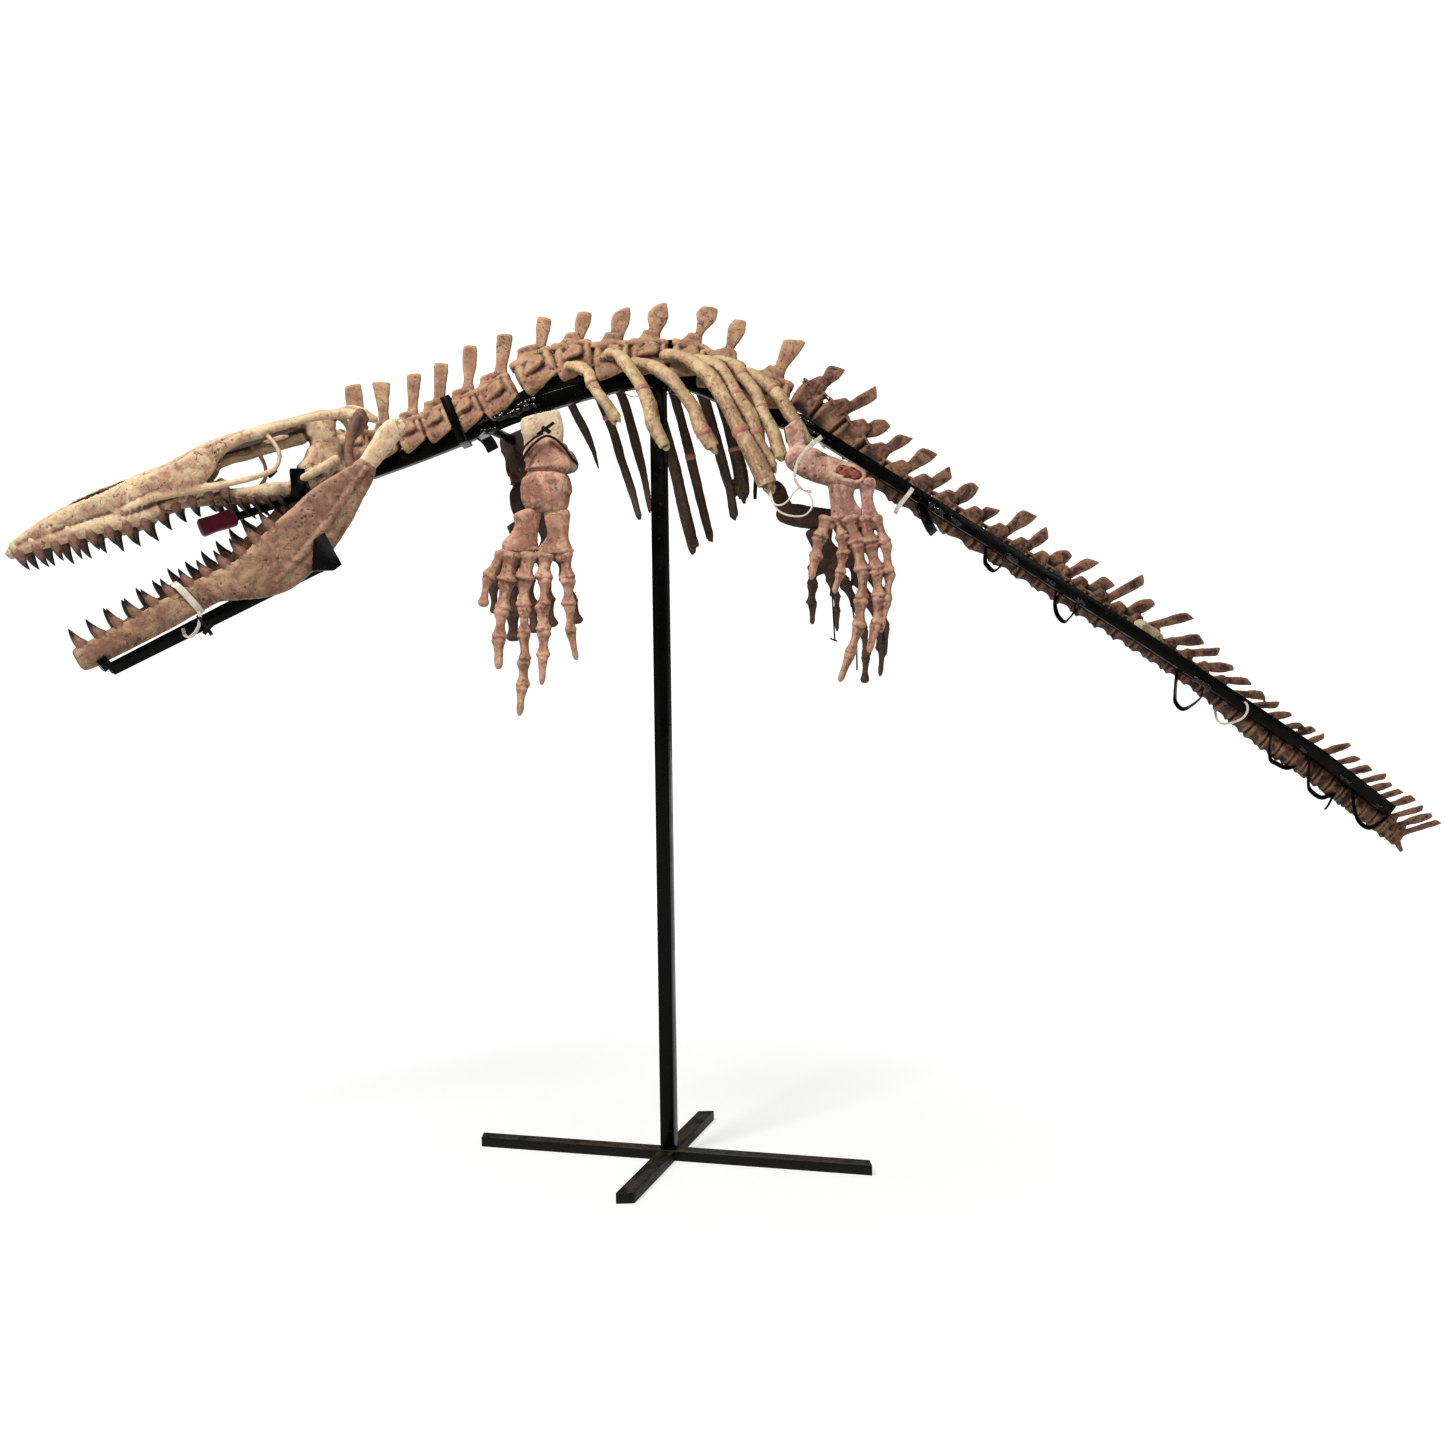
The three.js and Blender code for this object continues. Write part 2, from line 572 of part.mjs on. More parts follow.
// A whole row of digits joined by the palm bones under the forearm.
function paddle(side, y, digits, palm, kept) {
  const wrist = hanging(side, y, palm, { section: SQUARE });
  return join([wrist, ...digits.map((shape) => digit(side, y, shape, kept))]);
}

// Where a flipper hangs: swung about its girdle and shifted. The right pair hangs further forward at
// the girdle, is swung back, and has lost the ends of its digits.
function hang([pivotX, pivotZ], { swing, x, z }) {
  const there = new THREE.Matrix4().makeTranslation(pivotX + x, 0, pivotZ + z);
  const back = new THREE.Matrix4().makeTranslation(-pivotX, 0, -pivotZ);
  return there.multiply(new THREE.Matrix4().makeRotationY(THREE.MathUtils.degToRad(-swing))).multiply(back);
}

const FRONT_Y = 190;
const SHOULDER = [-290, 2040];
const FRONT_HANG = {
  left: { swing: 0, x: 0, z: 0, kept: 6 },
  right: { swing: 14, x: -127, z: 30, kept: 3 },
};
const SHOULDER_BAR = {
  left: { beam: [-292, 2098], girdle: [-292, 2012] },
  right: { beam: [-474, 2036], girdle: [-428, 2034] },
};
function addFrontFlipper(name, side, bone) {
  const place = hang(SHOULDER, FRONT_HANG[name]);
  const pieces = {
    scapula: hanging(side, FRONT_Y, [
      [-268, 2050, 20, 8], [-284, 2024, 42, 10], [-302, 1984, 52, 12], [-298, 1961, 46, 14],
    ]),
    humerus_upper: hanging(side, FRONT_Y, [
      [-298, 1961 - GAP, 42, 24], [-292, 1930, 58, 30], [-274, 1886, 74, 32], [-272, 1880, 70, 30],
    ]),
    humerus_lower: hanging(side, FRONT_Y, [
      [-290, 1880 - GAP, 60, 30], [-292, 1850, 70, 32], [-290, 1795, 70, 30], [-290, 1775, 60, 28],
    ]),
    radius: hanging(side, FRONT_Y, [
      [-346, 1775 - GAP, 38, 18], [-350, 1728, 27, 14], [-360, 1678, 50, 17], [-360, 1672, 50, 17],
    ], { section: SQUARE }),
    ulna: hanging(side, FRONT_Y, [
      [-262, 1775 - GAP, 36, 18], [-256, 1716, 25, 14], [-258, 1678, 36, 16], [-258, 1672, 36, 16],
    ], { section: SQUARE }),
    hand: paddle(side, FRONT_Y, FRONT_DIGITS, [[-320, 1672 - GAP, 98, 10], [-322, 1646, 90, 9]],
      FRONT_HANG[name].kept),
  };
  for (const [piece, body] of Object.entries(pieces)) {
    addPart(`front_${name}_${piece}`, placed(body, place), bone);
  }
  const scapula = placed(pieces.scapula, place);
  addGirdleBar(`stand_shoulder_bar_${name}`, side * FRONT_Y, SHOULDER_BAR[name], scapula);
}

const REAR_Y = 172;
const HIP = [390, 1922];
const REAR_HANG = {
  left: { swing: 0, x: 0, z: 0, kept: 6 },
  right: { swing: 14, x: -62, z: -116, kept: 5 },
};
const HIP_BAR = {
  left: { beam: [350, 2036], girdle: [350, 1962] },
  right: { beam: [278, 2064], girdle: [268, 1862] },
};
function addRearFlipper(name, side, bone) {
  const place = hang(HIP, REAR_HANG[name]);
  const pieces = {
    ilium: hanging(side, REAR_Y, [
      [352, 2000, 26, 9], [366, 1960, 24, 10], [390, 1922, 26, 12],
    ], { section: SQUARE }),
    femur: hanging(side, REAR_Y, [
      [404, 1922 - GAP, 28, 18], [434, 1898, 52, 24], [474, 1868, 64, 26], [504, 1842, 66, 26],
    ]),
    tibia: hanging(side, REAR_Y, [
      [486, 1842 - GAP, 44, 18], [492, 1796, 28, 14], [502, 1758, 42, 17], [502, 1754, 42, 17],
    ], { section: SQUARE }),
    fibula: hanging(side, REAR_Y, [
      [555, 1842 - GAP, 24, 16], [552, 1796, 17, 13], [564, 1758, 20, 15], [564, 1754, 20, 15],
    ], { section: SQUARE }),
    foot: paddle(side, REAR_Y, REAR_DIGITS, [[512, 1754 - GAP, 84, 10], [516, 1726, 78, 9]],
      REAR_HANG[name].kept),
  };
  for (const [piece, body] of Object.entries(pieces)) {
    addPart(`rear_${name}_${piece}`, placed(body, place), bone);
  }
  addGirdleBar(`stand_hip_bar_${name}`, side * REAR_Y, HIP_BAR[name], placed(pieces.ilium, place));
}

// ---- mount ----

// Band of flat steel that straps the neck down to the beam.
function collarBody(grow = 0) {
  const wide = 26 + 2 * grow;
  const outer = block([-wide / 2, -42 - grow, -68 - grow], [wide / 2, 42 + grow, 68 + grow]);
  const inner = block([-wide, -37 + grow, -63 + grow], [wide, 37 - grow, 63 - grow]);
  const tilt = new THREE.Matrix4().makeRotationY(-0.38).setPosition(-560, 0, 2053);
  return placed(outer.subtract(inner), tilt);
}

function addStand() {
  const turn = new THREE.Matrix4().makeRotationZ(BASE_TURN);
  const half = BASE_TUBE.wide / 2;
  const mitre = 14; // the tube ends are cut off aslant
  const foot = (from, to, fromMitre) => solid(new THREE.ExtrudeGeometry(new THREE.Shape([
    [from, half], [from + fromMitre, -half], [to, -half], [to - mitre, half],
  ].map(([x, y]) => new THREE.Vector2(x, y))), { depth: BASE_TUBE.high, bevelEnabled: false }));
  addPart('stand_long_foot', placed(foot(-LONG_FOOT, LONG_FOOT, mitre), turn), BASE_STEEL);
  for (const [name, angle] of [['back', Math.PI / 2], ['front', -Math.PI / 2]]) {
    const place = turn.clone().multiply(new THREE.Matrix4().makeRotationZ(angle));
    addPart(`stand_short_foot_${name}`, placed(foot(half + GAP, SHORT_FOOT, 0), place), BASE_STEEL);
  }
  const side = POST_TUBE / 2;
  const beamUnderside = 2138;
  const post = block([-side, -side, BASE_TUBE.high + GAP], [side, side, beamUnderside + 12]);
  addPart('stand_post', placed(post, turn).subtract(beamBody(GAP)), STEEL);
  addPart('stand_beam', beamBody().subtract(pinBody(GAP)), STEEL);
  addPart('stand_gusset', gussetBody().subtract(beamBody(GAP)), STEEL);
  addPart('stand_tail_tube', tailTubeBody().subtract(beamBody(GAP)), STEEL);
  addPart('stand_pin', pinBody().subtract(beamBody(GAP)), STEEL);
  addPart('stand_collar', collarBody().subtract(beamBody(GAP)), STEEL);
}

// Flat bar from the beam out to the inner face of a girdle bone.
function addGirdleBar(name, y, { beam, girdle }, bone) {
  const side = Math.sign(y);
  const outer = y - side * 8;
  const flat = sweep([[beam[0], side * 4, beam[1], 5, 12], [girdle[0], outer, girdle[1], 5, 12]],
    { section: SQUARE, facing: new THREE.Vector3(0, side, 0), side: new THREE.Vector3(1, 0, 0) });
  const clear = flat.subtract(beamBody(GAP)).subtract(gussetBody(GAP)).subtract(tailTubeBody(GAP));
  const boneClear = join([-1, 1].map((step) => bone.translate([0, step * GAP, 0])));
  addPart(name, largest(clear.subtract(boneClear)), STEEL);
}

function addHeadMount() {
  // A bar from the front of the beam runs under the braincase to a padded rest below the palate.
  const restBar = (grow) => placed(bar([-24, 24, -92], [456, 0, -82], 20, 20, { grow }), SKULL);
  addPart('stand_skull_bar', largest(restBar(0).subtract(beamBody(GAP))), STEEL);
  const clamp = placed(block([176, -72, -86], [204, 72, -38]), SKULL).subtract(restBar(GAP));
  addPart('stand_skull_clamp', largest(clamp.subtract(placed(palate(GAP), SKULL))), STEEL);
  const pad = placed(block([380, -24, -104], [472, 24, -60]), SKULL);
  addPart('stand_skull_pad', pad.subtract(restBar(GAP)), PAD_CLOTH);

  // The jaws lie in a cradle: a cross bar under each with an upturned plate, on a stay from the bar.
  // A bar below each jaw runs forward from the cradle to a clip under the chin.
  const cradleTop = -191;
  const stay = sweep([[-834, -22, 1898, 8, 12], [-880, -24, 1842, 8, 12], [-934, -44, 1664, 8, 12]],
    { section: SQUARE }).subtract(restBar(GAP));
  const cradle = [stay];
  for (const [name, side, frame] of JAW_FRAMES) {
    const inner = side > 0 ? -20 : 56;
    const y = [inner, side * 172].sort((a, b) => a - b);
    cradle.push(placed(block([270, y[0], cradleTop - 24], [300, y[1], cradleTop]), frame));
    const outline = new THREE.Shape([[258, -140], [290, -138], [346, -200], [300, -232], [274, -232]]
      .map(([x, z]) => new THREE.Vector2(x, z)));
    const plate = new THREE.ExtrudeGeometry(outline, { depth: 12, bevelEnabled: false });
    plate.rotateX(Math.PI / 2);
    plate.translate(0, side > 0 ? 172 : -160, 0);
    cradle.push(placed(solid(plate), frame));
    const rod = bar([885, side * 27, -104], [300 + GAP, side * 92, -207], 10, 28,
      { facing: new THREE.Vector3(-1, 0, 0) });
    const clip = block([872, side * 27 - 24, -98], [898, side * 27 + 24, -64]);
    const bracket = join([rod, clip]).subtract(jawSide(side, GAP));
    addPart(`stand_jaw_rod_${name}`, placed(largest(bracket), frame), STEEL);
  }
  const jaws = join(JAW_FRAMES.map(([, side, frame]) => placed(jawSide(side, GAP), frame)));
  addPart('stand_jaw_cradle', largest(join(cradle).subtract(jaws)), STEEL);
}

addCranium();
addJaws();
addColumn();
addTail();
addFrontFlipper('left', -1, BONE);
addFrontFlipper('right', 1, DARK_BONE);
addRearFlipper('left', -1, PALE_BONE);
addRearFlipper('right', 1, DARK_BONE);
addStand();
addHeadMount();

export default parts;
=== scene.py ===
import math

import bpy
import numpy as np
from mathutils import Euler, Matrix, Vector


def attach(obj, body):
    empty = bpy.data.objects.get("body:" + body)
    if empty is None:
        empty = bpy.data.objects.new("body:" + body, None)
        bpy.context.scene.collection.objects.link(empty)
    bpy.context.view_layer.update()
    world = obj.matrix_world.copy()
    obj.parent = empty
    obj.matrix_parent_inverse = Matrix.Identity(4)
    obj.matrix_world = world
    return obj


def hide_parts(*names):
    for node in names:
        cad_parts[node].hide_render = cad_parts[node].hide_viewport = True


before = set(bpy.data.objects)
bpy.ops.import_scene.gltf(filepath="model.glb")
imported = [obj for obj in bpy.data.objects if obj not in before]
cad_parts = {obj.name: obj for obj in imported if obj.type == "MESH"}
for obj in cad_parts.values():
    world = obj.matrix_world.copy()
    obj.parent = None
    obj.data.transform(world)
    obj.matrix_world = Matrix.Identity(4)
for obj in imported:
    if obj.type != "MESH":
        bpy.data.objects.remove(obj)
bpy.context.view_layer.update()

MM = 0.001


# ---- camera: level with the middle of the post, looking at the animal's left side ----

CAMERA_PLACE = Vector((165, -3900, 1245)) * MM
CAMERA_PITCH = math.radians(-0.51)
CAMERA_ROLL = math.radians(-0.82)
ahead = Vector((0, math.cos(CAMERA_PITCH), math.sin(CAMERA_PITCH)))
level = Vector((1, 0, 0))
upright = level.cross(ahead)
camera_right = level * math.cos(CAMERA_ROLL) + upright * math.sin(CAMERA_ROLL)
camera_up = upright * math.cos(CAMERA_ROLL) - level * math.sin(CAMERA_ROLL)
camera = bpy.data.objects.new("camera", bpy.data.cameras.new("camera"))
camera.data.lens = 35
camera.data.sensor_width = 36
camera.matrix_world = Matrix.Translation(CAMERA_PLACE) @ Matrix(
    (camera_right, camera_up, -ahead)).transposed().to_4x4()
bpy.context.scene.collection.objects.link(camera)
bpy.context.scene.camera = camera


# ---- studio: a matt white floor under three soft lamps and a pale surround ----


def rgb(code):
    """An sRGB hex colour as the linear numbers that a shader takes."""
    parts = [int(code[i:i + 2], 16) / 255 for i in (1, 3, 5)]
    return [c / 12.92 if c <= 0.04045 else ((c + 0.055) / 1.055) ** 2.4 for c in parts] + [1]


def add(tree, kind, sockets=None, **settings):
    """Adds one node: its settings first, then a value or a link for each socket named."""
    node = tree.nodes.new(kind)
    for key, value in settings.items():
        setattr(node, key, value)
    for key, value in (sockets or {}).items():
        if isinstance(value, bpy.types.NodeSocket):
            tree.links.new(value, node.inputs[key])
        else:
            node.inputs[key].default_value = value
    return node


def new_material(name):
    """An empty material and its node tree."""
    material = bpy.data.materials.new(name)
    material.use_nodes = True
    material.node_tree.nodes.clear()
    return material, material.node_tree


def new_object(name, mesh):
    piece = bpy.data.objects.new(name, mesh)
    bpy.context.scene.collection.objects.link(piece)
    return piece


floor_paint, tree = new_material("matt white floor paint")
floor_tone = add(tree, "ShaderNodeTexNoise", {"Scale": 0.7, "Detail": 2.0}).outputs["Fac"]
floor_colour = add(tree, "ShaderNodeMix", {0: floor_tone, 6: rgb("#f2f1ef"), 7: rgb("#f6f6f5")},
                   data_type="RGBA").outputs[2]
shader = add(tree, "ShaderNodeBsdfDiffuse", {"Color": floor_colour})
floor_place = add(tree, "ShaderNodeTexCoord").outputs["Object"]
away = add(tree, "ShaderNodeVectorMath", {0: floor_place}, operation="LENGTH").outputs["Value"]
away = add(tree, "ShaderNodeMapRange", {"Value": away, "From Min": 0.3, "From Max": 2.6, "To Min": 0.6},
           interpolation_type="SMOOTHSTEP").outputs[0]
wash = add(tree, "ShaderNodeEmission", {"Color": rgb("#fbfbfa"), "Strength": 1.0}).outputs[0]
sweep = add(tree, "ShaderNodeMixShader", {0: away, 1: shader.outputs[0], 2: wash}).outputs[0]
add(tree, "ShaderNodeOutputMaterial", {"Surface": sweep})
FLOOR_HALF = 30.0  # metres
floor_mesh = bpy.data.meshes.new("floor")
floor_mesh.from_pydata([(-FLOOR_HALF, -FLOOR_HALF, 0), (FLOOR_HALF, -FLOOR_HALF, 0),
                        (FLOOR_HALF, FLOOR_HALF, 0), (-FLOOR_HALF, FLOOR_HALF, 0)],
                       [], [(0, 1, 2, 3)])
floor = new_object("floor", floor_mesh)
floor.data.materials.append(floor_paint)

surround = bpy.data.worlds.new("pale surround")
bpy.context.scene.world = surround
surround.use_nodes = True
surround.node_tree.nodes.clear()
seen = add(surround.node_tree, "ShaderNodeLightPath").outputs["Is Camera Ray"]
glow = add(surround.node_tree, "ShaderNodeMix", {0: seen, 2: 0.09, 3: 1.0}).outputs[0]
backing = add(surround.node_tree, "ShaderNodeBackground", {"Color": rgb("#fbfbfa"), "Strength": glow})
add(surround.node_tree, "ShaderNodeOutputWorld", {"Surface": backing.outputs[0]})

bpy.context.scene.view_settings.view_transform = "Standard"
bpy.context.scene.view_settings.look = "Medium High Contrast"

LAMPS = [  # name, place, aim, size in metres, watts
    ("key lamp", (-1.9, -2.5, 4.9), (-0.05, 0, 1.7), 1.1, 200),
    ("front lamp", (2.6, -4.2, 3.2), (0.6, 0, 1.6), 1.6, 34),
    ("rear lamp", (0.4, 3.6, 4.6), (0, 0, 1.7), 2.4, 30),
]
for name, place, aim, size, watts in LAMPS:
    lamp = bpy.data.lights.new(name, "AREA")
    lamp.size = size
    lamp.energy = watts
    holder = bpy.data.objects.new(name, lamp)
    direction = Vector(aim) - Vector(place)
    holder.matrix_world = Matrix.Translation(place) @ direction.to_track_quat("-Z", "Y").to_matrix().to_4x4()
    bpy.context.scene.collection.objects.link(holder)


# ---- crossed base: two flat steel tubes welded flush, their ends cut aslant ----
# Mild steel that was painted black and has worn: the tops are dusty brown bare metal with rust,
# the sides keep their dark paint. The long tube runs through and a short one butts each side.


def settle(piece):
    """Keeps the mesh that a piece's modifiers make, and removes them."""
    graph = bpy.context.evaluated_depsgraph_get()
    mesh = bpy.data.meshes.new_from_object(
        piece.evaluated_get(graph), preserve_all_data_layers=True, depsgraph=graph)
    piece.modifiers.clear()
    piece.data = mesh
    return piece


def eased(name, node, radius, crease=35):
    """A copy of a steel node with its corners rounded."""
    piece = new_object(name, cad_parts[node].data.copy())
    piece.data.materials.clear()
    weld = piece.modifiers.new("weld", "WELD")
    weld.merge_threshold = 0.02 * MM
    bevel = piece.modifiers.new("bevel", "BEVEL")
    bevel.width = radius * MM
    bevel.segments = 3
    bevel.angle_limit = math.radians(crease)
    settle(piece)
    piece.data.shade_smooth()
    piece.data.set_sharp_from_angle(angle=math.radians(50))
    return piece


def fit(piece, finish, slot, *nodes):
    """Gives a piece its finish, its place on the mount and the nodes that it stands for."""
    piece.data.materials.clear()
    piece.data.materials.append(finish)
    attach(piece, "root")
    if nodes:
        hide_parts(*nodes)


# Worn painted steel: brown scuffed tops where shoes and dust have been, near-black sides. The
# scale of this pattern and of all that follow is one over its size in metres.
worn_steel, tree = new_material("worn black paint on mild steel")
where = add(tree, "ShaderNodeTexCoord").outputs["Object"]
facing = add(tree, "ShaderNodeNewGeometry").outputs["Normal"]
upward = add(tree, "ShaderNodeSeparateXYZ", {0: facing}).outputs[2]
blotch = add(tree, "ShaderNodeTexNoise", {"Vector": where, "Scale": 1 / 0.045, "Detail": 6.0,
                                         "Roughness": 0.65}).outputs["Fac"]
speck = add(tree, "ShaderNodeTexNoise", {"Vector": where, "Scale": 1 / 0.006, "Detail": 4.0}).outputs["Fac"]
worn = add(tree, "ShaderNodeMapRange", {"Value": blotch, "From Min": 0.34, "From Max": 0.56}).outputs[0]
top = add(tree, "ShaderNodeMapRange", {"Value": upward, "From Min": 0.5, "From Max": 0.9}).outputs[0]
bare = add(tree, "ShaderNodeMath", {0: worn, 1: top}, operation="MULTIPLY").outputs[0]
rust = add(tree, "ShaderNodeMapRange", {"Value": speck, "From Min": 0.5, "From Max": 0.7}).outputs[0]
metal = add(tree, "ShaderNodeMix", {0: rust, 6: rgb("#564a3e"), 7: rgb("#3c2015")},
            data_type="RGBA").outputs[2]
paint = add(tree, "ShaderNodeMix", {0: rust, 6: rgb("#080605"), 7: rgb("#160d09")},
            data_type="RGBA").outputs[2]
colour = add(tree, "ShaderNodeMix", {0: bare, 6: paint, 7: metal}, data_type="RGBA").outputs[2]
rough = add(tree, "ShaderNodeMapRange", {"Value": blotch, "From Min": 0.3, "From Max": 0.7,
                                        "To Min": 0.42, "To Max": 0.68}).outputs[0]
relief = add(tree, "ShaderNodeBump", {"Height": speck, "Strength": 0.35, "Distance": 0.4 * MM}).outputs[0]
shader = add(tree, "ShaderNodeBsdfPrincipled", {"Base Color": colour, "Metallic": 0.35,
                                               "Roughness": rough, "Normal": relief})
add(tree, "ShaderNodeOutputMaterial", {"Surface": shader.outputs[0]})

for node in ("stand_long_foot", "stand_short_foot_back", "stand_short_foot_front"):
    fit(eased(node.replace("stand_", "base_"), node, 2.5), worn_steel, "base_steel", node)


# ---- post, beam, gusset and tail tube: square steel tube, arc welded and painted gloss black ----
# The post stands on the cross. The curved beam passes under the neck and trunk, a gusset doubles
# it over the shoulders, and a lighter tube follows the left side of the tail.

# Thick gloss enamel, brushed on: it shines along the edges and shows runs and dust.
black_enamel, tree = new_material("brushed black gloss enamel")
where = add(tree, "ShaderNodeTexCoord").outputs["Object"]
dust = add(tree, "ShaderNodeTexNoise", {"Vector": where, "Scale": 1 / 0.07, "Detail": 5.0}).outputs["Fac"]
runs = add(tree, "ShaderNodeTexNoise", {"Vector": where, "Scale": 1 / 0.012, "Detail": 3.0}).outputs["Fac"]
chip = add(tree, "ShaderNodeMapRange", {"Value": runs, "From Min": 0.66, "From Max": 0.74}).outputs[0]
film = add(tree, "ShaderNodeMix", {0: dust, 6: rgb("#030303"), 7: rgb("#0b0a09")},
           data_type="RGBA").outputs[2]
colour = add(tree, "ShaderNodeMix", {0: chip, 6: film, 7: rgb("#251c17")}, data_type="RGBA").outputs[2]
rough = add(tree, "ShaderNodeMapRange", {"Value": dust, "From Min": 0.3, "From Max": 0.7,
                                        "To Min": 0.16, "To Max": 0.34}).outputs[0]
relief = add(tree, "ShaderNodeBump", {"Height": runs, "Strength": 0.4, "Distance": 0.9 * MM}).outputs[0]
shader = add(tree, "ShaderNodeBsdfPrincipled", {"Base Color": colour, "Roughness": rough, "Normal": relief,
                                               "Specular IOR Level": 0.13})
add(tree, "ShaderNodeOutputMaterial", {"Surface": shader.outputs[0]})

fit(eased("post", "stand_post", 3.0), black_enamel, "black_steel", "stand_post")
fit(eased("gusset", "stand_gusset", 2.0), black_enamel, "black_steel", "stand_gusset")
fit(eased("tail_tube", "stand_tail_tube", 3.0, 25), black_enamel, "black_steel", "stand_tail_tube")
fit(eased("pin", "stand_pin", 1.0, 40), black_enamel, "black_steel", "stand_pin")


def smooth_rows(rows, steps):
    """Catmull-Rom curve through the rows of a table, with steps rows to each gap."""
    rows = np.array(rows, float)
    ends = np.vstack([2 * rows[0] - rows[1], rows, 2 * rows[-1] - rows[-2]])
    fine = []
    for i in range(len(rows) - 1):
        a, b, c, d = ends[i:i + 4]
        for t in np.arange(steps) / steps:
            fine.append(0.5 * (2 * b + (c - a) * t + (2 * a - 5 * b + 4 * c - d) * t ** 2
                               + (3 * b - a - 3 * c + d) * t ** 3))
    return np.array(fine + [rows[-1]])


def unit(rows):
    return rows / np.linalg.norm(rows, axis=-1, keepdims=True)


def loft(stations, side=(0, 1, 0), square=2.0, points=16, steps=4, cap=0.5):
    """A closed skin through stations [x, y, z, across, deep], each half size in mm.

    across is measured along side. square 2 gives an oval section and more a boxier one; a pair
    sets the upper and lower half apart. cap is how far the ends bulge, as a share of their size.
    """
    rows = smooth_rows(stations, steps)
    rows[:, 3:] = np.maximum(rows[:, 3:], 1.0)
    along = unit(np.gradient(rows[:, :3], axis=0))
    side = np.array(side, float)
    lateral = unit(side - (along @ side)[:, None] * along)
    normal = np.cross(along, lateral)
    rings = [(rows[i, :3], lateral[i] * rows[i, 3], normal[i] * rows[i, 4]) for i in range(len(rows))]
    for end, way in ((0, -1), (-1, 1)):
        reach = cap * min(rows[end, 3], rows[end, 4])
        for turn in np.radians((35, 62, 82)):
            middle = rows[end, :3] + along[end] * way * reach * math.sin(turn)
            ring = (middle, lateral[end] * rows[end, 3] * math.cos(turn),
                    normal[end] * rows[end, 4] * math.cos(turn))
            rings = [ring] + rings if end == 0 else rings + [ring]
    angle = np.arange(points) / points * 2 * math.pi
    cos, sin = np.cos(angle), np.sin(angle)
    upper, lower = square if isinstance(square, tuple) else (square, square)
    power = np.where(sin >= 0, 2 / upper, 2 / lower)
    u = np.sign(cos) * np.abs(cos) ** power
    v = np.sign(sin) * np.abs(sin) ** power
    skin = np.concatenate([m + np.outer(u, l) + np.outer(v, n) for m, l, n in rings])
    count = len(rings)
    skin = np.vstack([skin, rings[0][0], rings[-1][0]])
    faces = []
    for i in range(count - 1):
        for k in range(points):
            j = (k + 1) % points
            faces.append((i * points + k, i * points + j, (i + 1) * points + j, (i + 1) * points + k))
    for k in range(points):
        j = (k + 1) % points
        faces.append((count * points, j, k))
        faces.append((count * points + 1, (count - 1) * points + k, (count - 1) * points + j))
    return skin, faces


def mesh_of(name, shells):
    """One mesh in metres from several shells in mm."""
    points, faces, start = [], [], 0
    for skin, sides in shells:
        points.append(skin * MM)
        faces += [tuple(start + k for k in side) for side in sides]
        start += len(skin)
    mesh = bpy.data.meshes.new(name)
    mesh.from_pydata(np.concatenate(points).tolist(), [], faces)
    return mesh


BEAM_WIDE, BEAM_DEEP = 34, 48
BEAM_PATH = [
    (-800, 0, 1922), (-600, 0, 1993), (-380, 0, 2081), (-164, 0, 2143), (-30, 0, 2164),
    (80, 0, 2156), (190, 0, 2112), (300, 0, 2062), (392, -48, 2024),
]
beam = new_object("beam", mesh_of("beam", [loft(
    [(*p, BEAM_WIDE / 2, BEAM_DEEP / 2) for p in BEAM_PATH], square=9, points=28, steps=6, cap=0.05)]))
beam.data.shade_smooth()
fit(beam, black_enamel, "black_steel", "stand_beam")


# ---- neck and trunk: thirteen vertebrae of fossil bone, wired end to end along the beam ----
# Each has a spool-shaped body, an arch over the cord canal, paired joint processes and a spine
# blade. The fossil is mottled tan and ochre, pink where it was filled, with painted shade in its hollows.


def new_tree(name, **sockets):
    """A Geometry Nodes tree with a mesh in, a mesh out and named inputs for its sizes."""
    tree = bpy.data.node_groups.new(name, "GeometryNodeTree")
    for way in ("INPUT", "OUTPUT"):
        tree.interface.new_socket("Mesh", in_out=way, socket_type="NodeSocketGeometry")
    for label, kind in sockets.items():
        tree.interface.new_socket(label, in_out="INPUT", socket_type="NodeSocket" + kind)
    return tree, add(tree, "NodeGroupInput").outputs


def close_tree(tree, mesh, finish):
    """Ends a tree with its instances realized and its material set."""
    real = add(tree, "GeometryNodeRealizeInstances", {0: mesh}).outputs[0]
    done = add(tree, "GeometryNodeSetMaterial", {"Geometry": real, "Material": finish}).outputs[0]
    add(tree, "NodeGroupOutput", {0: done})


def run_tree(piece, tree, **values):
    """Puts a tree on a piece and sets its named inputs."""
    modifier = piece.modifiers.new(tree.name, "NODES")
    modifier.node_group = tree
    for item in tree.interface.items_tree:
        if item.in_out == "INPUT" and item.name in values:
            modifier[item.identifier] = values[item.name]


# Weathering: broad lumps, fine grain and scattered pits, with the hollows measured so that the bone finishes
# can paint shade into them.
weathering, inputs = new_tree("weathering", Lump="Float", Grain="Float", Pit="Float", Seed="Float",
                              Finish="Material")
spot = add(weathering, "GeometryNodeInputPosition").outputs[0]
outward = add(weathering, "GeometryNodeInputNormal").outputs[0]
lumps = add(weathering, "ShaderNodeTexNoise", {"Vector": spot, "W": inputs["Seed"], "Scale": 1 / 0.055,
                                              "Detail": 3.0}, noise_dimensions="4D").outputs["Fac"]
grains = add(weathering, "ShaderNodeTexNoise", {"Vector": spot, "W": inputs["Seed"], "Scale": 1 / 0.014,
                                               "Detail": 4.0, "Roughness": 0.6},
             noise_dimensions="4D").outputs["Fac"]
cells = add(weathering, "ShaderNodeTexVoronoi", {"Vector": spot, "Scale": 1 / 0.016}).outputs["Distance"]
pits = add(weathering, "ShaderNodeMapRange", {"Value": cells, "From Min": 0.12, "From Max": 0.34,
                                             "To Min": 1.0, "To Max": 0.0},
           interpolation_type="SMOOTHSTEP").outputs[0]
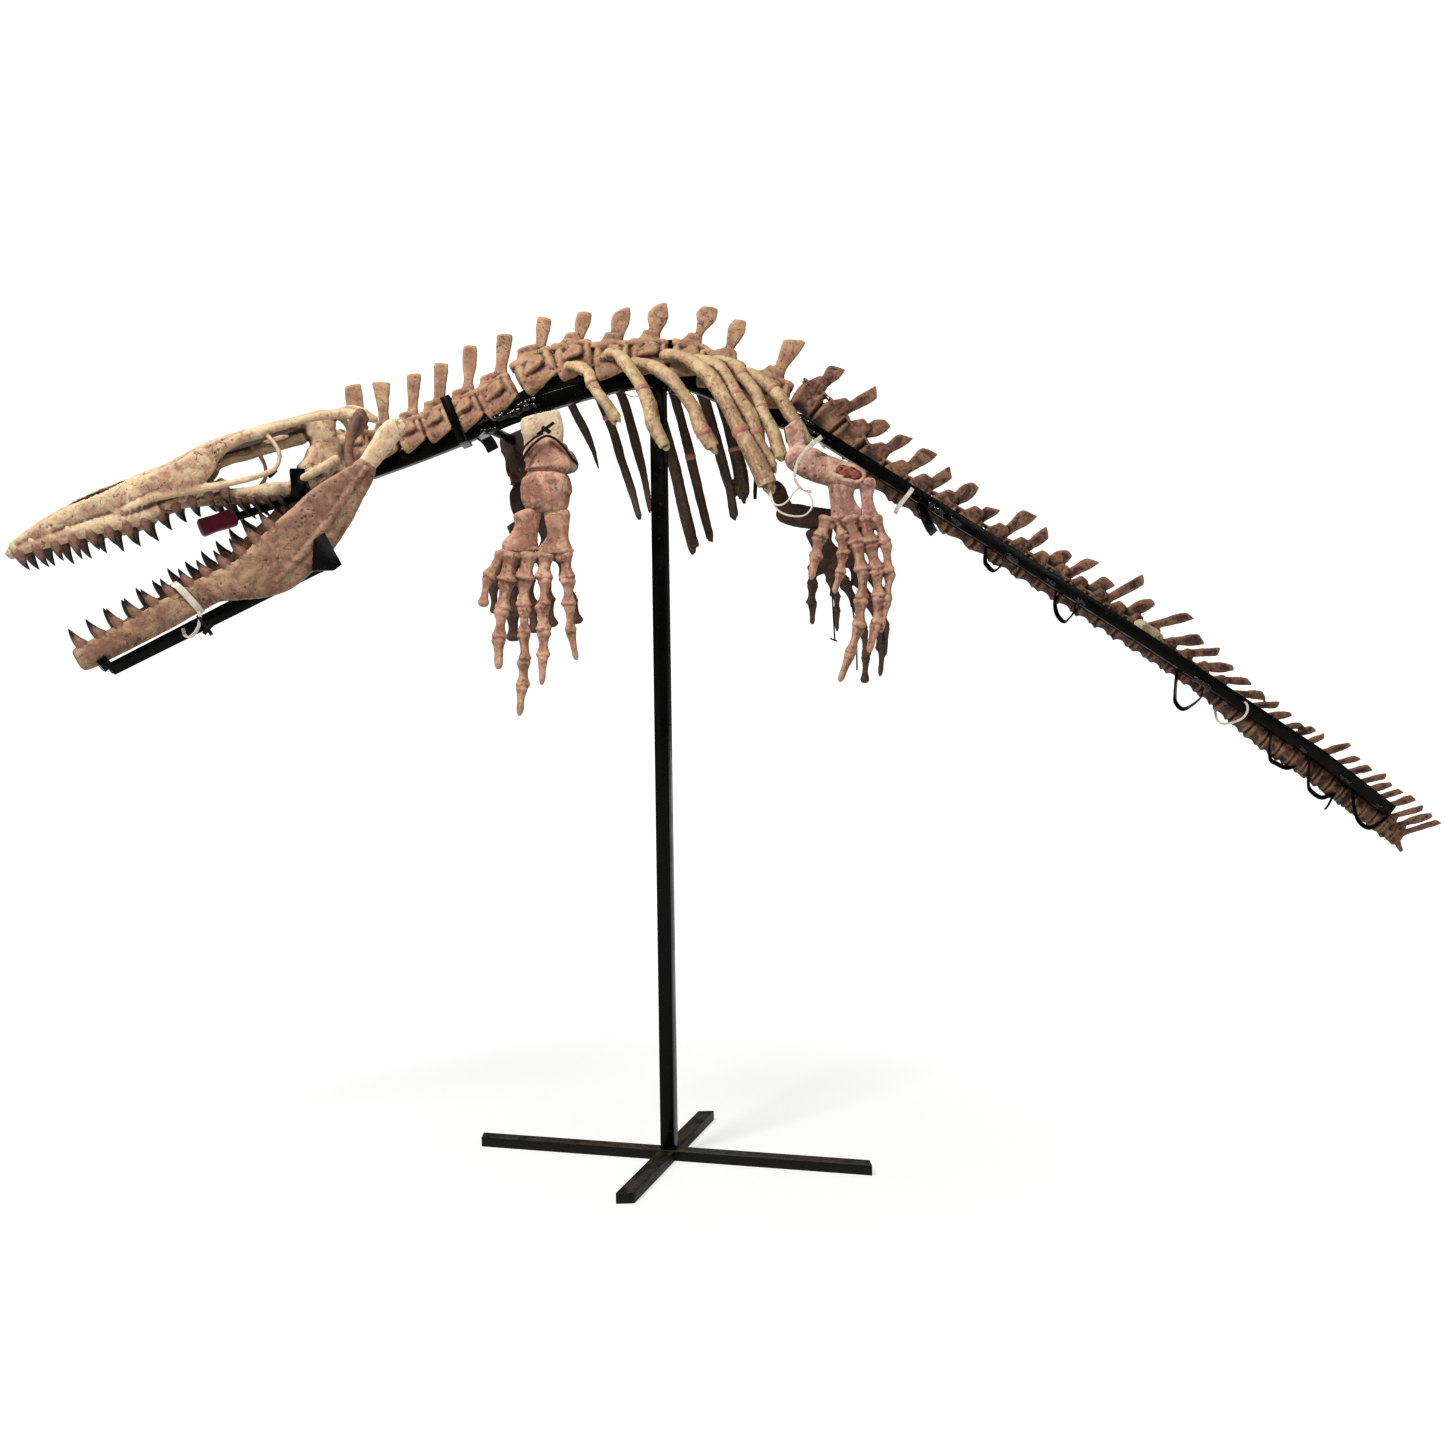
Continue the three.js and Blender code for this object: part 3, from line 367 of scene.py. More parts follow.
patchy = add(weathering, "ShaderNodeMapRange", {"Value": lumps, "From Min": 0.48, "From Max": 0.6}).outputs[0]
pits = add(weathering, "ShaderNodeMath", {0: pits, 1: patchy}, operation="MULTIPLY").outputs[0]
lift = None
for share, size, middle in ((lumps, "Lump", 0.5), (grains, "Grain", 0.5), (pits, "Pit", 0.0)):
    centred = add(weathering, "ShaderNodeMath", {0: share, 1: middle}, operation="SUBTRACT").outputs[0]
    scaled = add(weathering, "ShaderNodeMath", {0: centred, 1: inputs[size]}, operation="MULTIPLY").outputs[0]
    lift = scaled if lift is None else add(
        weathering, "ShaderNodeMath", {0: lift, 1: scaled},
        operation="SUBTRACT" if size == "Pit" else "ADD").outputs[0]
offset = add(weathering, "ShaderNodeVectorMath", {0: outward, "Scale": lift}, operation="SCALE").outputs[0]
shaped = add(weathering, "GeometryNodeSetPosition", {"Geometry": inputs["Mesh"], "Offset": offset}).outputs[0]
for label, rounds in (("hollow", 5), ("sunken", 45)):
    spot = add(weathering, "GeometryNodeInputPosition").outputs[0]
    outward = add(weathering, "GeometryNodeInputNormal").outputs[0]
    even = add(weathering, "GeometryNodeBlurAttribute", {"Value": spot, "Iterations": rounds},
               data_type="FLOAT_VECTOR").outputs[0]
    drift = add(weathering, "ShaderNodeVectorMath", {0: even, 1: spot}, operation="SUBTRACT").outputs[0]
    depth = add(weathering, "ShaderNodeVectorMath", {0: drift, 1: outward},
                operation="DOT_PRODUCT").outputs["Value"]
    depth = add(weathering, "ShaderNodeMath", {0: depth, 1: 1000.0}, operation="MULTIPLY").outputs[0]
    shaped = add(weathering, "GeometryNodeStoreNamedAttribute",
                 {"Geometry": shaped, "Name": label, "Value": depth},
                 data_type="FLOAT", domain="POINT").outputs[0]
close_tree(weathering, shaped, inputs["Finish"])


def carve(piece, finish, voxel=3.0, soften=4, lump=3.0, grain=1.6, pit=0.9, seed=0.0, cutters=()):
    """Fuses a piece's overlapping shells into one bone, cuts it, softens it and weathers it."""
    if cutters:
        first = piece.modifiers.new("fuse", "REMESH")
        first.mode = "VOXEL"
        first.voxel_size = voxel * MM
        for cutter in cutters:
            hole = piece.modifiers.new("hole", "BOOLEAN")
            hole.solver = "EXACT"
            hole.object = cutter
    fuse = piece.modifiers.new("fuse", "REMESH")
    fuse.mode = "VOXEL"
    fuse.voxel_size = voxel * MM
    smooth = piece.modifiers.new("soften", "SMOOTH")
    smooth.factor = 0.5
    smooth.iterations = soften
    run_tree(piece, weathering, Lump=lump * MM, Grain=grain * MM, Pit=pit * MM, Seed=seed, Finish=finish)
    settle(piece)
    for cutter in cutters:
        bpy.data.objects.remove(cutter)
    piece.data.shade_smooth()


def carved(name, shells, finish, slot, *nodes, **sizes):
    """A piece carved from its shells, in its finish and its place on the mount."""
    piece = new_object(name, mesh_of(name, shells))
    carve(piece, finish, **sizes)
    fit(piece, finish, slot, *nodes)


def fossil(name, pale, body, blush, stain_and_shade, patch=0.09):
    """Matt permineralised bone: pale patches, pink filler, stain and dark cracks, with a painted highlight on
    upward faces, painted shade on downward faces and in hollows, and paler worn ridges.
    """
    material, tree = new_material(name)
    where = add(tree, "ShaderNodeTexCoord").outputs["Object"]
    facing = add(tree, "ShaderNodeNewGeometry").outputs["Normal"]
    shares = {"upward": add(tree, "ShaderNodeSeparateXYZ", {0: facing}).outputs[2]}
    for label in ("hollow", "sunken"):
        shares[label] = add(tree, "ShaderNodeAttribute", attribute_name=label).outputs["Fac"]
    for label, size, detail, distortion in (("patches", patch, 3.0, 0.8), ("smear", 0.045, 4.0, 1.6),
                                            ("mottle", 0.028, 5.0, 0.9), ("grit", 0.0045, 4.0, 0.0)):
        shares[label] = add(tree, "ShaderNodeTexNoise", {
            "Vector": where, "Scale": 1 / size, "Detail": detail, "Roughness": 0.64,
            "Distortion": distortion}).outputs["Fac"]
    # Cracks: the edges of warped plates 75 mm across, broken off where the patches are low.
    bend = add(tree, "ShaderNodeTexNoise",
               {"Vector": where, "Scale": 1 / 0.025, "Detail": 5.0}).outputs["Color"]
    bend = add(tree, "ShaderNodeVectorMath", {0: bend, "Scale": 0.045}, operation="SCALE").outputs[0]
    bend = add(tree, "ShaderNodeVectorMath", {0: where, 1: bend}, operation="ADD").outputs[0]
    plates = add(tree, "ShaderNodeTexVoronoi", {"Vector": bend, "Scale": 1 / 0.075},
                 feature="DISTANCE_TO_EDGE").outputs["Distance"]
    worn = add(tree, "ShaderNodeMapRange", {"Value": shares["smear"], "From Min": 0.4, "From Max": 0.56,
                                           "To Min": 1.0, "To Max": 12.0}).outputs[0]
    shares["crack"] = add(tree, "ShaderNodeMath", {0: plates, 1: worn}, operation="MULTIPLY").outputs[0]
    colour = rgb(body)
    # Layers: random pale patches, pink smears, stain mottle and grit; then a painted highlight on upward
    # faces, painted shade on downward faces and in large and small hollows, paler ridges for edge wear, and
    # dark cracks.
    for label, low, high, most, layer in (
            ("patches", 0.42, 0.62, 0.85, pale), ("smear", 0.5, 0.66, 0.75, blush),
            ("mottle", 0.48, 0.3, 0.5, stain_and_shade), ("grit", 0.56, 0.8, 0.45, stain_and_shade),
            ("upward", 0.15, 0.95, 0.45, pale), ("upward", 0.25, -0.9, 0.7, stain_and_shade),
            ("sunken", 0.3, 4.2, 0.9, stain_and_shade), ("hollow", 0.05, 0.7, 0.7, stain_and_shade),
            ("hollow", -0.1, -0.6, 0.5, pale), ("crack", 0.02, 0.006, 0.6, "#24130d")):
        amount = add(tree, "ShaderNodeMapRange", {"Value": shares[label], "From Min": low, "From Max": high,
                                                 "To Max": most}, interpolation_type="SMOOTHSTEP").outputs[0]
        colour = add(tree, "ShaderNodeMix", {0: amount, 6: colour, 7: rgb(layer)},
                     data_type="RGBA").outputs[2]
    rough = add(tree, "ShaderNodeMapRange", {"Value": shares["mottle"], "From Min": 0.3, "From Max": 0.7,
                                            "To Min": 0.6, "To Max": 0.85}).outputs[0]
    height = add(tree, "ShaderNodeMath", {0: amount, 1: -1.5}, operation="MULTIPLY").outputs[0]
    for label in ("grit", "mottle"):
        height = add(tree, "ShaderNodeMath", {0: shares[label], 1: height}, operation="ADD").outputs[0]
    relief = add(tree, "ShaderNodeBump", {"Height": height, "Strength": 0.9, "Distance": 1.8 * MM}).outputs[0]
    shader = add(tree, "ShaderNodeBsdfPrincipled", {"Base Color": colour, "Roughness": rough,
                                                   "Normal": relief})
    add(tree, "ShaderNodeOutputMaterial", {"Surface": shader.outputs[0]})
    return material


tan_bone = fossil("mottled tan fossil bone", "#b49270", "#8b664f", "#8a5849", "#2f1811")

# Column place, spine tip and blade widths from waist to tip, and how much the tip slants.
NECK_AND_TRUNK = [  # x, z, tip x, tip z, widths, slant
    (-828, 1990, -846, 2157, (50, 48, 50, 51, 46), 0.1),
    (-757, 1996, -767, 2164, (34, 29, 34, 44, 52), -0.1),
    (-684, 2021, -676, 2185, (34, 28, 33, 38, 40), 0.1),
    (-612, 2049, -600, 2214, (36, 32, 36, 39, 41), 0.0),
    (-530, 2080, -519, 2262, (38, 26, 38, 44, 36), 0.0),
    (-444, 2120, -422, 2291, (40, 33, 38, 43, 43), 0.1),
    (-335, 2190, -312, 2337, (56, 30, 34, 42, 40), -0.1),
    (-230, 2220, -200, 2350, (36, 25, 38, 44, 38), 0.1),
    (-125, 2218, -96, 2356, (44, 36, 48, 52, 40), 0.5),
    (-22, 2224, 9, 2369, (44, 34, 52, 58, 34), 0.5),
    (84, 2214, 147, 2359, (38, 22, 34, 60, 46), 0.2),
    (172, 2178, 230, 2322, (34, 24, 40, 50, 34), 0.2),
    (300, 2120, 380, 2264, (48, 34, 42, 54, 60), 0.4),
]
TRUNK_START = 6
TAIL_FIRST_X = 411


def moved(shell, matrix):
    """A shell carried by a 4x4 matrix."""
    skin, faces = shell
    matrix = np.array(matrix)
    return skin @ matrix[:3, :3].T + matrix[:3, 3], faces


def blade(root, tip, widths, thick, slant=0.0):
    """A spine: a flat blade in the animal's middle plane, widths from its root to its tip."""
    root, tip = np.array(root, float), np.array(tip, float)
    count = len(widths)
    stations = [(*(root + (tip - root) * k / (count - 1)), thick * (1.5 if k == 0 else 1.0 - 0.06 * k), w / 2)
                for k, w in enumerate(widths)]
    skin, faces = loft(stations, square=2.8, points=20, cap=0.55)
    along = unit(tip - root)
    across = np.array((along[2], 0, -along[0]))
    travel = (skin - root) @ along / np.linalg.norm(tip - root)
    ease = np.clip((travel - 0.6) / 0.4, 0, 1.3) ** 2
    return skin + np.outer(slant * ease * ((skin - root) @ across), along), faces


JOINT_PROCESSES = [  # shares of half length and radius twice, half sizes: front pair, then rear pair
    [(-0.2, 0.34, 0.74, 15, 16), (-0.78, 0.54, 0.9, 14, 13), (-1.14, 0.58, 0.96, 10, 9)],
    [(0.2, 0.3, 0.86, 14, 15), (0.8, 0.42, 0.96, 12, 12), (1.1, 0.46, 0.92, 9, 8)],
]


def vertebra(centre, pitch, radius, length, tip, widths, slant, girth=1.0):
    """Body, arch, joint processes and spine of one vertebra, pitch in radians nose-down to tail."""
    r, half = radius, length / 2
    waist = widths[0] / 2
    body = [(-half, 0, 0, r * 0.84, r * 0.86), (-half * 0.8, 0, 0, r, r * 1.04),
            (-half * 0.3, 0, 2, r * 0.84, r * 0.86), (half * 0.2, 0, 2, r * 0.8, r * 0.8),
            (half * 0.6, 0, 0, r * 0.94, r * 0.94), (half * 0.86, 0, 0, r * 1.04, r * 1.06),
            (half, 0, 0, r * 0.88, r * 0.88)]
    arch = [(0, 0, 0, r * 0.8, half * 0.9), (-2, 0, r * 0.7, r * 0.7 * girth, half * 0.86),
            (0, 0, r * 1.15, r * 0.56 * girth, half * 0.74),
            (2, 0, r * 1.5, r * 0.36, half * 0.34 + waist * 0.5), (4, 0, r * 1.85, 13, waist * 1.05)]
    shells = [loft(body, square=2.7, points=22, cap=0.2), loft(arch, square=3.0, points=20, cap=0.3)]
    for side in (-1, 1):
        for process in JOINT_PROCESSES:
            rows = [(half * a, side * r * b, r * c, across, deep) for a, b, c, across, deep in process]
            shells.append(loft(rows, square=2.6, points=14, cap=0.3))
        shells.append(loft([(-half * 0.1, side * r * 0.5, r * 0.3, half * 0.8, 24),
                            (-half * 0.14, side * r * 0.9, r * 0.12, half * 0.7, 13),
                            (-half * 0.16, side * r * 1.1, -r * 0.02, half * 0.6, 7)],
                           side=(1, 0, 0.35), square=2.6, points=18, cap=0.3))
        # The lower flange laps the side of the beam.
        flange = [(0, side * r * 0.62, -r * 0.2, half * 0.96, 12), (0, side * 27, -r * 0.75, half * 1.02, 10),
                  (2, side * 27, -r - 4, half * 1.0, 8), (4, side * 25, -r - 10, half * 0.88, 5)]
        shells.append(loft(flange, side=(1, 0, 0), square=3.4, points=20, cap=0.2))
    turn = Matrix.Translation(centre) @ Matrix.Rotation(pitch, 4, "Y")
    shells = [moved(shell, turn) for shell in shells]
    root = np.array(centre) + (np.array((tip[0], 0, tip[1])) - np.array(centre)) * 0.32
    shells.append(blade(root, (tip[0], 0, tip[1]), widths, 8.5, slant))
    return shells


column = [(x, z) for x, z, *_ in NECK_AND_TRUNK] + [(TAIL_FIRST_X, 2092)]
bones = []
for i, (x, z, tip_x, tip_z, widths, slant) in enumerate(NECK_AND_TRUNK):
    x1, z1 = column[i - 1] if i else (2 * column[0][0] - column[1][0], column[0][1] - 6)
    x2, z2 = column[i + 1]
    pitch = -math.atan2(z2 - z1, x2 - x1)
    radius = 31 + i if i < TRUNK_START else 39
    length = 0.5 * math.hypot(x2 - x1, z2 - z1) * 0.9
    bones.append(vertebra((x, 0, z), pitch, radius, length, (tip_x, tip_z), widths, slant,
                          1.0 if i < TRUNK_START else 1.15))
carved("neck_vertebrae_bone", sum(bones[:TRUNK_START], []), tan_bone, "bone", "neck_vertebrae",
       lump=7.0, grain=3.0, pit=1.4, seed=1.0)
carved("trunk_vertebrae_bone", sum(bones[TRUNK_START:], []), tan_bone, "bone", "rib_cage_left",
       "rib_cage_right", lump=7.0, grain=3.0, pit=1.4, seed=2.0)


# ---- ribs: seven on the left, broken short, and eight on the right, near full length ----
# Curved bars of ochre fossil, each made up from a few lengths glued under rings of pink filler.
# Their heads are pegged and glued to the bodies of the trunk vertebrae.

# A path becomes a bar: its own radius at every point, an oval section and closed ends.
sweeping, inputs = new_tree("bar along a path", Sides="Int", Flatness="Float", Finish="Material")
line = add(sweeping, "GeometryNodeMeshToCurve", {0: inputs["Mesh"]}).outputs[0]
girth = add(sweeping, "GeometryNodeInputNamedAttribute", {"Name": "girth"}, data_type="FLOAT").outputs[0]
oval = add(sweeping, "GeometryNodeCurvePrimitiveCircle",
           {"Resolution": inputs["Sides"], "Radius": 1.0}).outputs[0]
squash = add(sweeping, "ShaderNodeCombineXYZ", {0: 1.0, 1: inputs["Flatness"], 2: 1.0}).outputs[0]
oval = add(sweeping, "GeometryNodeTransform", {"Geometry": oval, "Scale": squash}).outputs[0]
line = add(sweeping, "GeometryNodeSetCurveRadius", {0: line, 2: girth}).outputs[0]
line = add(sweeping, "GeometryNodeSetCurveNormal", {0: line}).outputs[0]
swept = add(sweeping, "GeometryNodeCurveToMesh", {"Curve": line, "Profile Curve": oval, "Fill Caps": True})
if "Scale" in swept.inputs:
    sweeping.links.new(girth, swept.inputs["Scale"])
close_tree(sweeping, swept.outputs[0], inputs["Finish"])


def shell_of(piece):
    """A finished piece as a shell, and the piece removed."""
    skin = np.array([v.co for v in piece.data.vertices]) / MM
    faces = [tuple(p.vertices) for p in piece.data.polygons]
    bpy.data.objects.remove(piece)
    return skin, faces


def bar_along(path, girths, finish, sides=14, flatness=1.0):
    """A bar swept along points in mm, girths its half thickness at each, as a shell."""
    mesh = bpy.data.meshes.new("path")
    mesh.from_pydata((np.array(path) * MM).tolist(), [(i, i + 1) for i in range(len(path) - 1)], [])
    mesh.attributes.new("girth", "FLOAT", "POINT").data.foreach_set("value", np.array(girths, float) * MM)
    piece = new_object("path", mesh)
    run_tree(piece, sweeping, Sides=sides, Flatness=flatness, Finish=finish)
    return shell_of(settle(piece))


ochre_bone = fossil("ochre fossil bone", "#c8b189", "#967759", "#a67160", "#2f170f")
# The right ribs, on the far side, are darkened all over: painted shade.
far_rib_shade_bone = fossil("umber rib fossil in painted shade", "#5c4631", "#3b2a20", "#46291f", "#160c08")
RIB_TURN = math.radians(104)  # how far round a rib bends from its head
LEFT_RIBS = [  # x, z, back, reach, drop, wide, how much the end spreads
    (-250, 2194, 135, 125, 168, 34, -0.12), (-138, 2226, 152, 140, 277, 37, -0.1),
    (-80, 2198, 233, 150, 256, 38, 0.1), (12, 2220, 274, 155, 380, 42, 0.45),
    (94, 2206, 206, 150, 319, 38, -0.25), (148, 2202, 193, 140, 286, 35, 0.15),
    (212, 2168, 180, 125, 215, 36, 0.1),
]
RIGHT_RIBS = [
    (-330, 2190, 150, 130, 245, 26, -0.75), (-252, 2216, 180, 140, 410, 31, -0.3),
    (-176, 2224, 145, 150, 400, 30, -0.4), (-104, 2226, 195, 155, 510, 38, 0.05),
    (-28, 2224, 160, 155, 480, 31, -0.1), (58, 2214, 150, 150, 410, 34, -0.2),
    (130, 2192, 105, 145, 325, 42, 0.1), (208, 2160, 105, 122, 285, 42, 0.0),
]
RIB_POINTS = 30
SPLINTERS = 4  # at the broken end of each rib
FILLER_RINGS = {  # rib number and share of its length
    "left": [(0, 0.6), (1, 0.61), (2, 0.9), (3, 0.74), (4, 0.56), (4, 0.8), (5, 0.4), (5, 0.68), (6, 0.5)],
    "right": [(1, 0.5), (3, 0.45), (4, 0.66), (6, 0.72), (7, 0.6)],
}


def rib_point(side, rib, t):
    """Place on a rib, t from its head at 0 to its tip at 1."""
    x, z, back, reach, drop = rib[:5]
    angle = t * RIB_TURN
    fall = (1 - math.cos(angle)) / (1 - math.cos(RIB_TURN))
    return np.array((x + back * t ** 0.85, side * (22 + reach * math.sin(angle)), z - drop * fall))


# Putty of plaster and glue in thick smooth collars, pinker than the bone.
rib_filler, tree = new_material("pink repair plaster")
where = add(tree, "ShaderNodeTexCoord").outputs["Object"]
cloud = add(tree, "ShaderNodeTexNoise", {"Vector": where, "Scale": 1 / 0.012, "Detail": 4.0}).outputs["Fac"]
colour = add(tree, "ShaderNodeMix", {0: cloud, 6: rgb("#7d493c"), 7: rgb("#b98873")},
             data_type="RGBA").outputs[2]
relief = add(tree, "ShaderNodeBump", {"Height": cloud, "Strength": 0.5, "Distance": 0.8 * MM}).outputs[0]
shader = add(tree, "ShaderNodeBsdfPrincipled", {"Base Color": colour, "Roughness": 0.7, "Normal": relief})
add(tree, "ShaderNodeOutputMaterial", {"Surface": shader.outputs[0]})

for label, side, ribs, finish in (("left", -1, LEFT_RIBS, ochre_bone), ("right", 1, RIGHT_RIBS, far_rib_shade_bone)):
    shells, rings = [], []
    for k, rib in enumerate(ribs):
        chance = np.random.RandomState(100 * (side + 2) + k)
        t = np.linspace(0, 1, RIB_POINTS)
        wander, knots = (np.interp(t, np.linspace(0, 1, 8), chance.uniform(-1, 1, 8)) for _ in range(2))
        path = np.array([rib_point(side, rib, share) for share in t])
        kinks, slim = (11, 1.76) if side < 0 else (6, 2)
        path[:, 0] += wander * kinks * np.sqrt(t)
        path[:, 1] += knots * 4 * t
        girths = rib[5] / slim * np.interp(t, (0, 0.04, 0.12, 0.3, 1), (0.7, 1.1, 0.86, 1.0, 0.98))
        girths *= 1 + 0.012 * kinks * knots + rib[6] * np.clip((t - 0.7) / 0.3, 0, 1)
        shells.append(bar_along(path, girths, finish, flatness=0.85))
        # The break: splinters of uneven length round the end.
        heading = unit(path[-1] - path[-3])
        for _ in range(SPLINTERS):
            start = path[-1] - heading * 14 + chance.uniform(-0.45, 0.45, 3) * girths[-1]
            reach = heading * (18 + chance.uniform(2, 0.9 * girths[-1]))
            shells.append(bar_along([start, start + reach * 0.6, start + reach],
                                    np.array((0.5, 0.42, 0.2)) * girths[-1], finish, sides=8))
        for number, share in FILLER_RINGS[label]:
            if number == k:
                spread = share + np.array((-0.016, -0.008, 0, 0.008, 0.016))
                around = [[np.interp(v, t, path[:, axis]) for axis in range(3)] for v in spread]
                thick = np.interp(spread, t, girths) * (0.98, 1.06, 1.1, 1.05, 0.98)
                rings.append(bar_along(around, thick, rib_filler, sides=20, flatness=0.9))
    carved(f"ribs_{label}", shells, finish, "pale_bone", f"rib_cage_{label}",
           voxel=2.8, soften=3, lump=6.0, grain=2.6, pit=1.2, seed=3.0 + side)
    carved(f"rib_fillers_{label}", rings, rib_filler, "pale_bone", f"rib_cage_{label}",
           voxel=2.0, soften=3, lump=5.0, grain=1.6, pit=0.0, seed=6.0 + side)


# ---- tail: thirty-six vertebrae in five lengths, wired against the flat of the tube ----
# Spool bodies with low arches and thin spines that lean back more and more, and short arches
# below. The first spines are broad and leaf-like; the last are thin, close set and lie well back.

# Places a template piece at every point, turned and sized by the point's own attributes.
setting_out, inputs = new_tree("set out a piece", Piece="Object", Finish="Material")
template = add(setting_out, "GeometryNodeObjectInfo", {"Object": inputs["Piece"]}).outputs["Geometry"]
turn = add(setting_out, "GeometryNodeInputNamedAttribute", {"Name": "turn"},
           data_type="FLOAT_VECTOR").outputs[0]
turn = add(setting_out, "FunctionNodeEulerToRotation", {0: turn}).outputs[0]
size = add(setting_out, "GeometryNodeInputNamedAttribute", {"Name": "size"},
           data_type="FLOAT_VECTOR").outputs[0]
copies = add(setting_out, "GeometryNodeInstanceOnPoints", {"Points": inputs["Mesh"], "Instance": template,
                                                          "Rotation": turn, "Scale": size}).outputs[0]
close_tree(setting_out, copies, inputs["Finish"])


def set_out(name, template, places, finish):
    """Repeats a template mesh at places, each a 4x4 matrix in mm, as one piece."""
    mesh = bpy.data.meshes.new(name)
    mesh.from_pydata([list(m.translation * MM) for m in places], [], [])
    turns = [list(m.to_euler()) for m in places]
    sizes = [list(m.to_scale()) for m in places]
    mesh.attributes.new("turn", "FLOAT_VECTOR", "POINT").data.foreach_set("vector", np.ravel(turns))
    mesh.attributes.new("size", "FLOAT_VECTOR", "POINT").data.foreach_set("vector", np.ravel(sizes))
    piece = new_object(name, mesh)
    pattern = new_object("template", template)
    run_tree(piece, setting_out, Piece=pattern, Finish=finish)
    settle(piece)
    bpy.data.objects.remove(pattern)
    return piece


def placing(centre, turn=(0, 0, 0), size=(1, 1, 1)):
    """A 4x4 place in mm from a centre, turns in radians about X, Y, Z and a size."""
    return Matrix.LocRotScale(Vector(centre), Euler(turn), Vector(size))


def smoothstep(value, low, high):
    t = min(1.0, max(0.0, (value - low) / (high - low)))
    return t * t * (3 - 2 * t)


TAIL_VERTEBRAE = 36
TAIL_STEP = 67.9
TAIL_CROWDING = 0.62
TAIL_FORWARD = 36  # the first bodies are pushed up against the hip
TAIL_ABOVE = 82  # the first body stands above the tube
TAIL_BELOW = 46  # the last bodies hang below its middle
TAIL_LENGTHS = (0, 6, 12, 19, 27, TAIL_VERTEBRAE)
TUBE_LINE = [(402, 2019), (930, 1681), (1340, 1412), (1800, 1098), (1998, 940)]
TUBE_START, TUBE_END = TUBE_LINE[0][0], TUBE_LINE[-1][0]


def tail_radius(x):
    return 38 - 16 * (x - TUBE_START) / (TUBE_END - TUBE_START)


def tail_place(i):
    """Middle of a tail body; the column drops onto the tube behind the hip and below it at the tip."""
    push = smoothstep(i, 0, 3) * (1 - smoothstep(i, 4, 9))
    x = TAIL_FIRST_X + TAIL_STEP * i - TAIL_CROWDING * i * i - TAIL_FORWARD * push
    (x1, z1), (x2, z2) = next(pair for pair in zip(TUBE_LINE, TUBE_LINE[1:])
                              if pair[1][0] > x or pair[1][0] == TUBE_END)
    tube = z1 + (z2 - z1) * (x - x1) / (x2 - x1)
    above = TAIL_ABOVE - TAIL_ABOVE * smoothstep(i, 0, 4)
    return x, tube + above - TAIL_BELOW * smoothstep(i, 18, 24)


SPINE_TIPS = [  # x and z of the tip of each tail spine
    (499, 2188), (604, 2119), (634, 2032), (686, 1995), (752, 1954), (807, 1895), (876, 1858),
    (925, 1792), (1027, 1778), (1073, 1724), (1134, 1665), (1199, 1645), (1245, 1587), (1337, 1590),
    (1363, 1528), (1467, 1488), (1497, 1422), (1543, 1387), (1583, 1342), (1628, 1303), (1669, 1264),
    (1707, 1237), (1744, 1211), (1772, 1182), (1805, 1170), (1833, 1148), (1906, 1124), (1928, 1087),
    (1961, 1059), (2004, 1035), (2019, 1013), (2044, 994), (2078, 974), (2104, 945), (2128, 925),
    (2153, 906),
]

# A template a unit long: the body along X, with its arch along Z and its joint processes. The spines take
# four shapes, below.
UNIT = 100
body_template = mesh_of("tail body", [
    loft([(-48, 0, 0, 88, 88), (-38, 0, 0, 104, 104), (-14, 0, 0, 90, 90), (8, 0, 0, 84, 82),
          (28, 0, 0, 94, 92), (40, 0, 0, 106, 106), (48, 0, 0, 90, 90)], square=2.3, points=18, cap=0.1),
    loft([(-4, 0, 20, 78, 44), (-2, 0, 90, 72, 42), (4, 0, 138, 58, 34), (8, 0, 180, 36, 24)],
         square=2.8, points=16, cap=0.2),
    *[loft([(0, side * 30, 82, 34, 16), (-34, side * 44, 98, 30, 13), (-58, side * 46, 102, 20, 9)],
           square=2.6, points=12, cap=0.3) for side in (-1, 1)],
    *[loft([(8, side * 22, 92, 30, 14), (36, side * 34, 100, 28, 12), (56, side * 36, 96, 18, 9)],
           square=2.6, points=12, cap=0.3) for side in (-1, 1)],
])
SPINE_SHAPES = [  # widths from root to tip for a unit half width, and the slant of the tip
    ((1.2, 0.8, 0.85, 1.05, 1.35, 1.2), 0.5),
    ((1.3, 0.9, 0.85, 1.0, 1.05, 1.0), -0.4),
    ((1.2, 0.8, 1.0, 1.3, 1.25, 0.75), 0.25),
    ((1.2, 0.95, 0.9, 0.95, 1.1, 0.95), 0.8),
]
tail_finishes = [fossil("pale brown tail fossil bone", "#936c52", "#492e24", "#5c362b", "#190a06", 0.06),
                 fossil("pinkish brown tail fossil bone", "#9c7459", "#40261c", "#5a3327", "#180906", 0.045),
                 fossil("brown tail fossil bone", "#936d53", "#382118", "#4e2b20", "#150805", 0.045)]

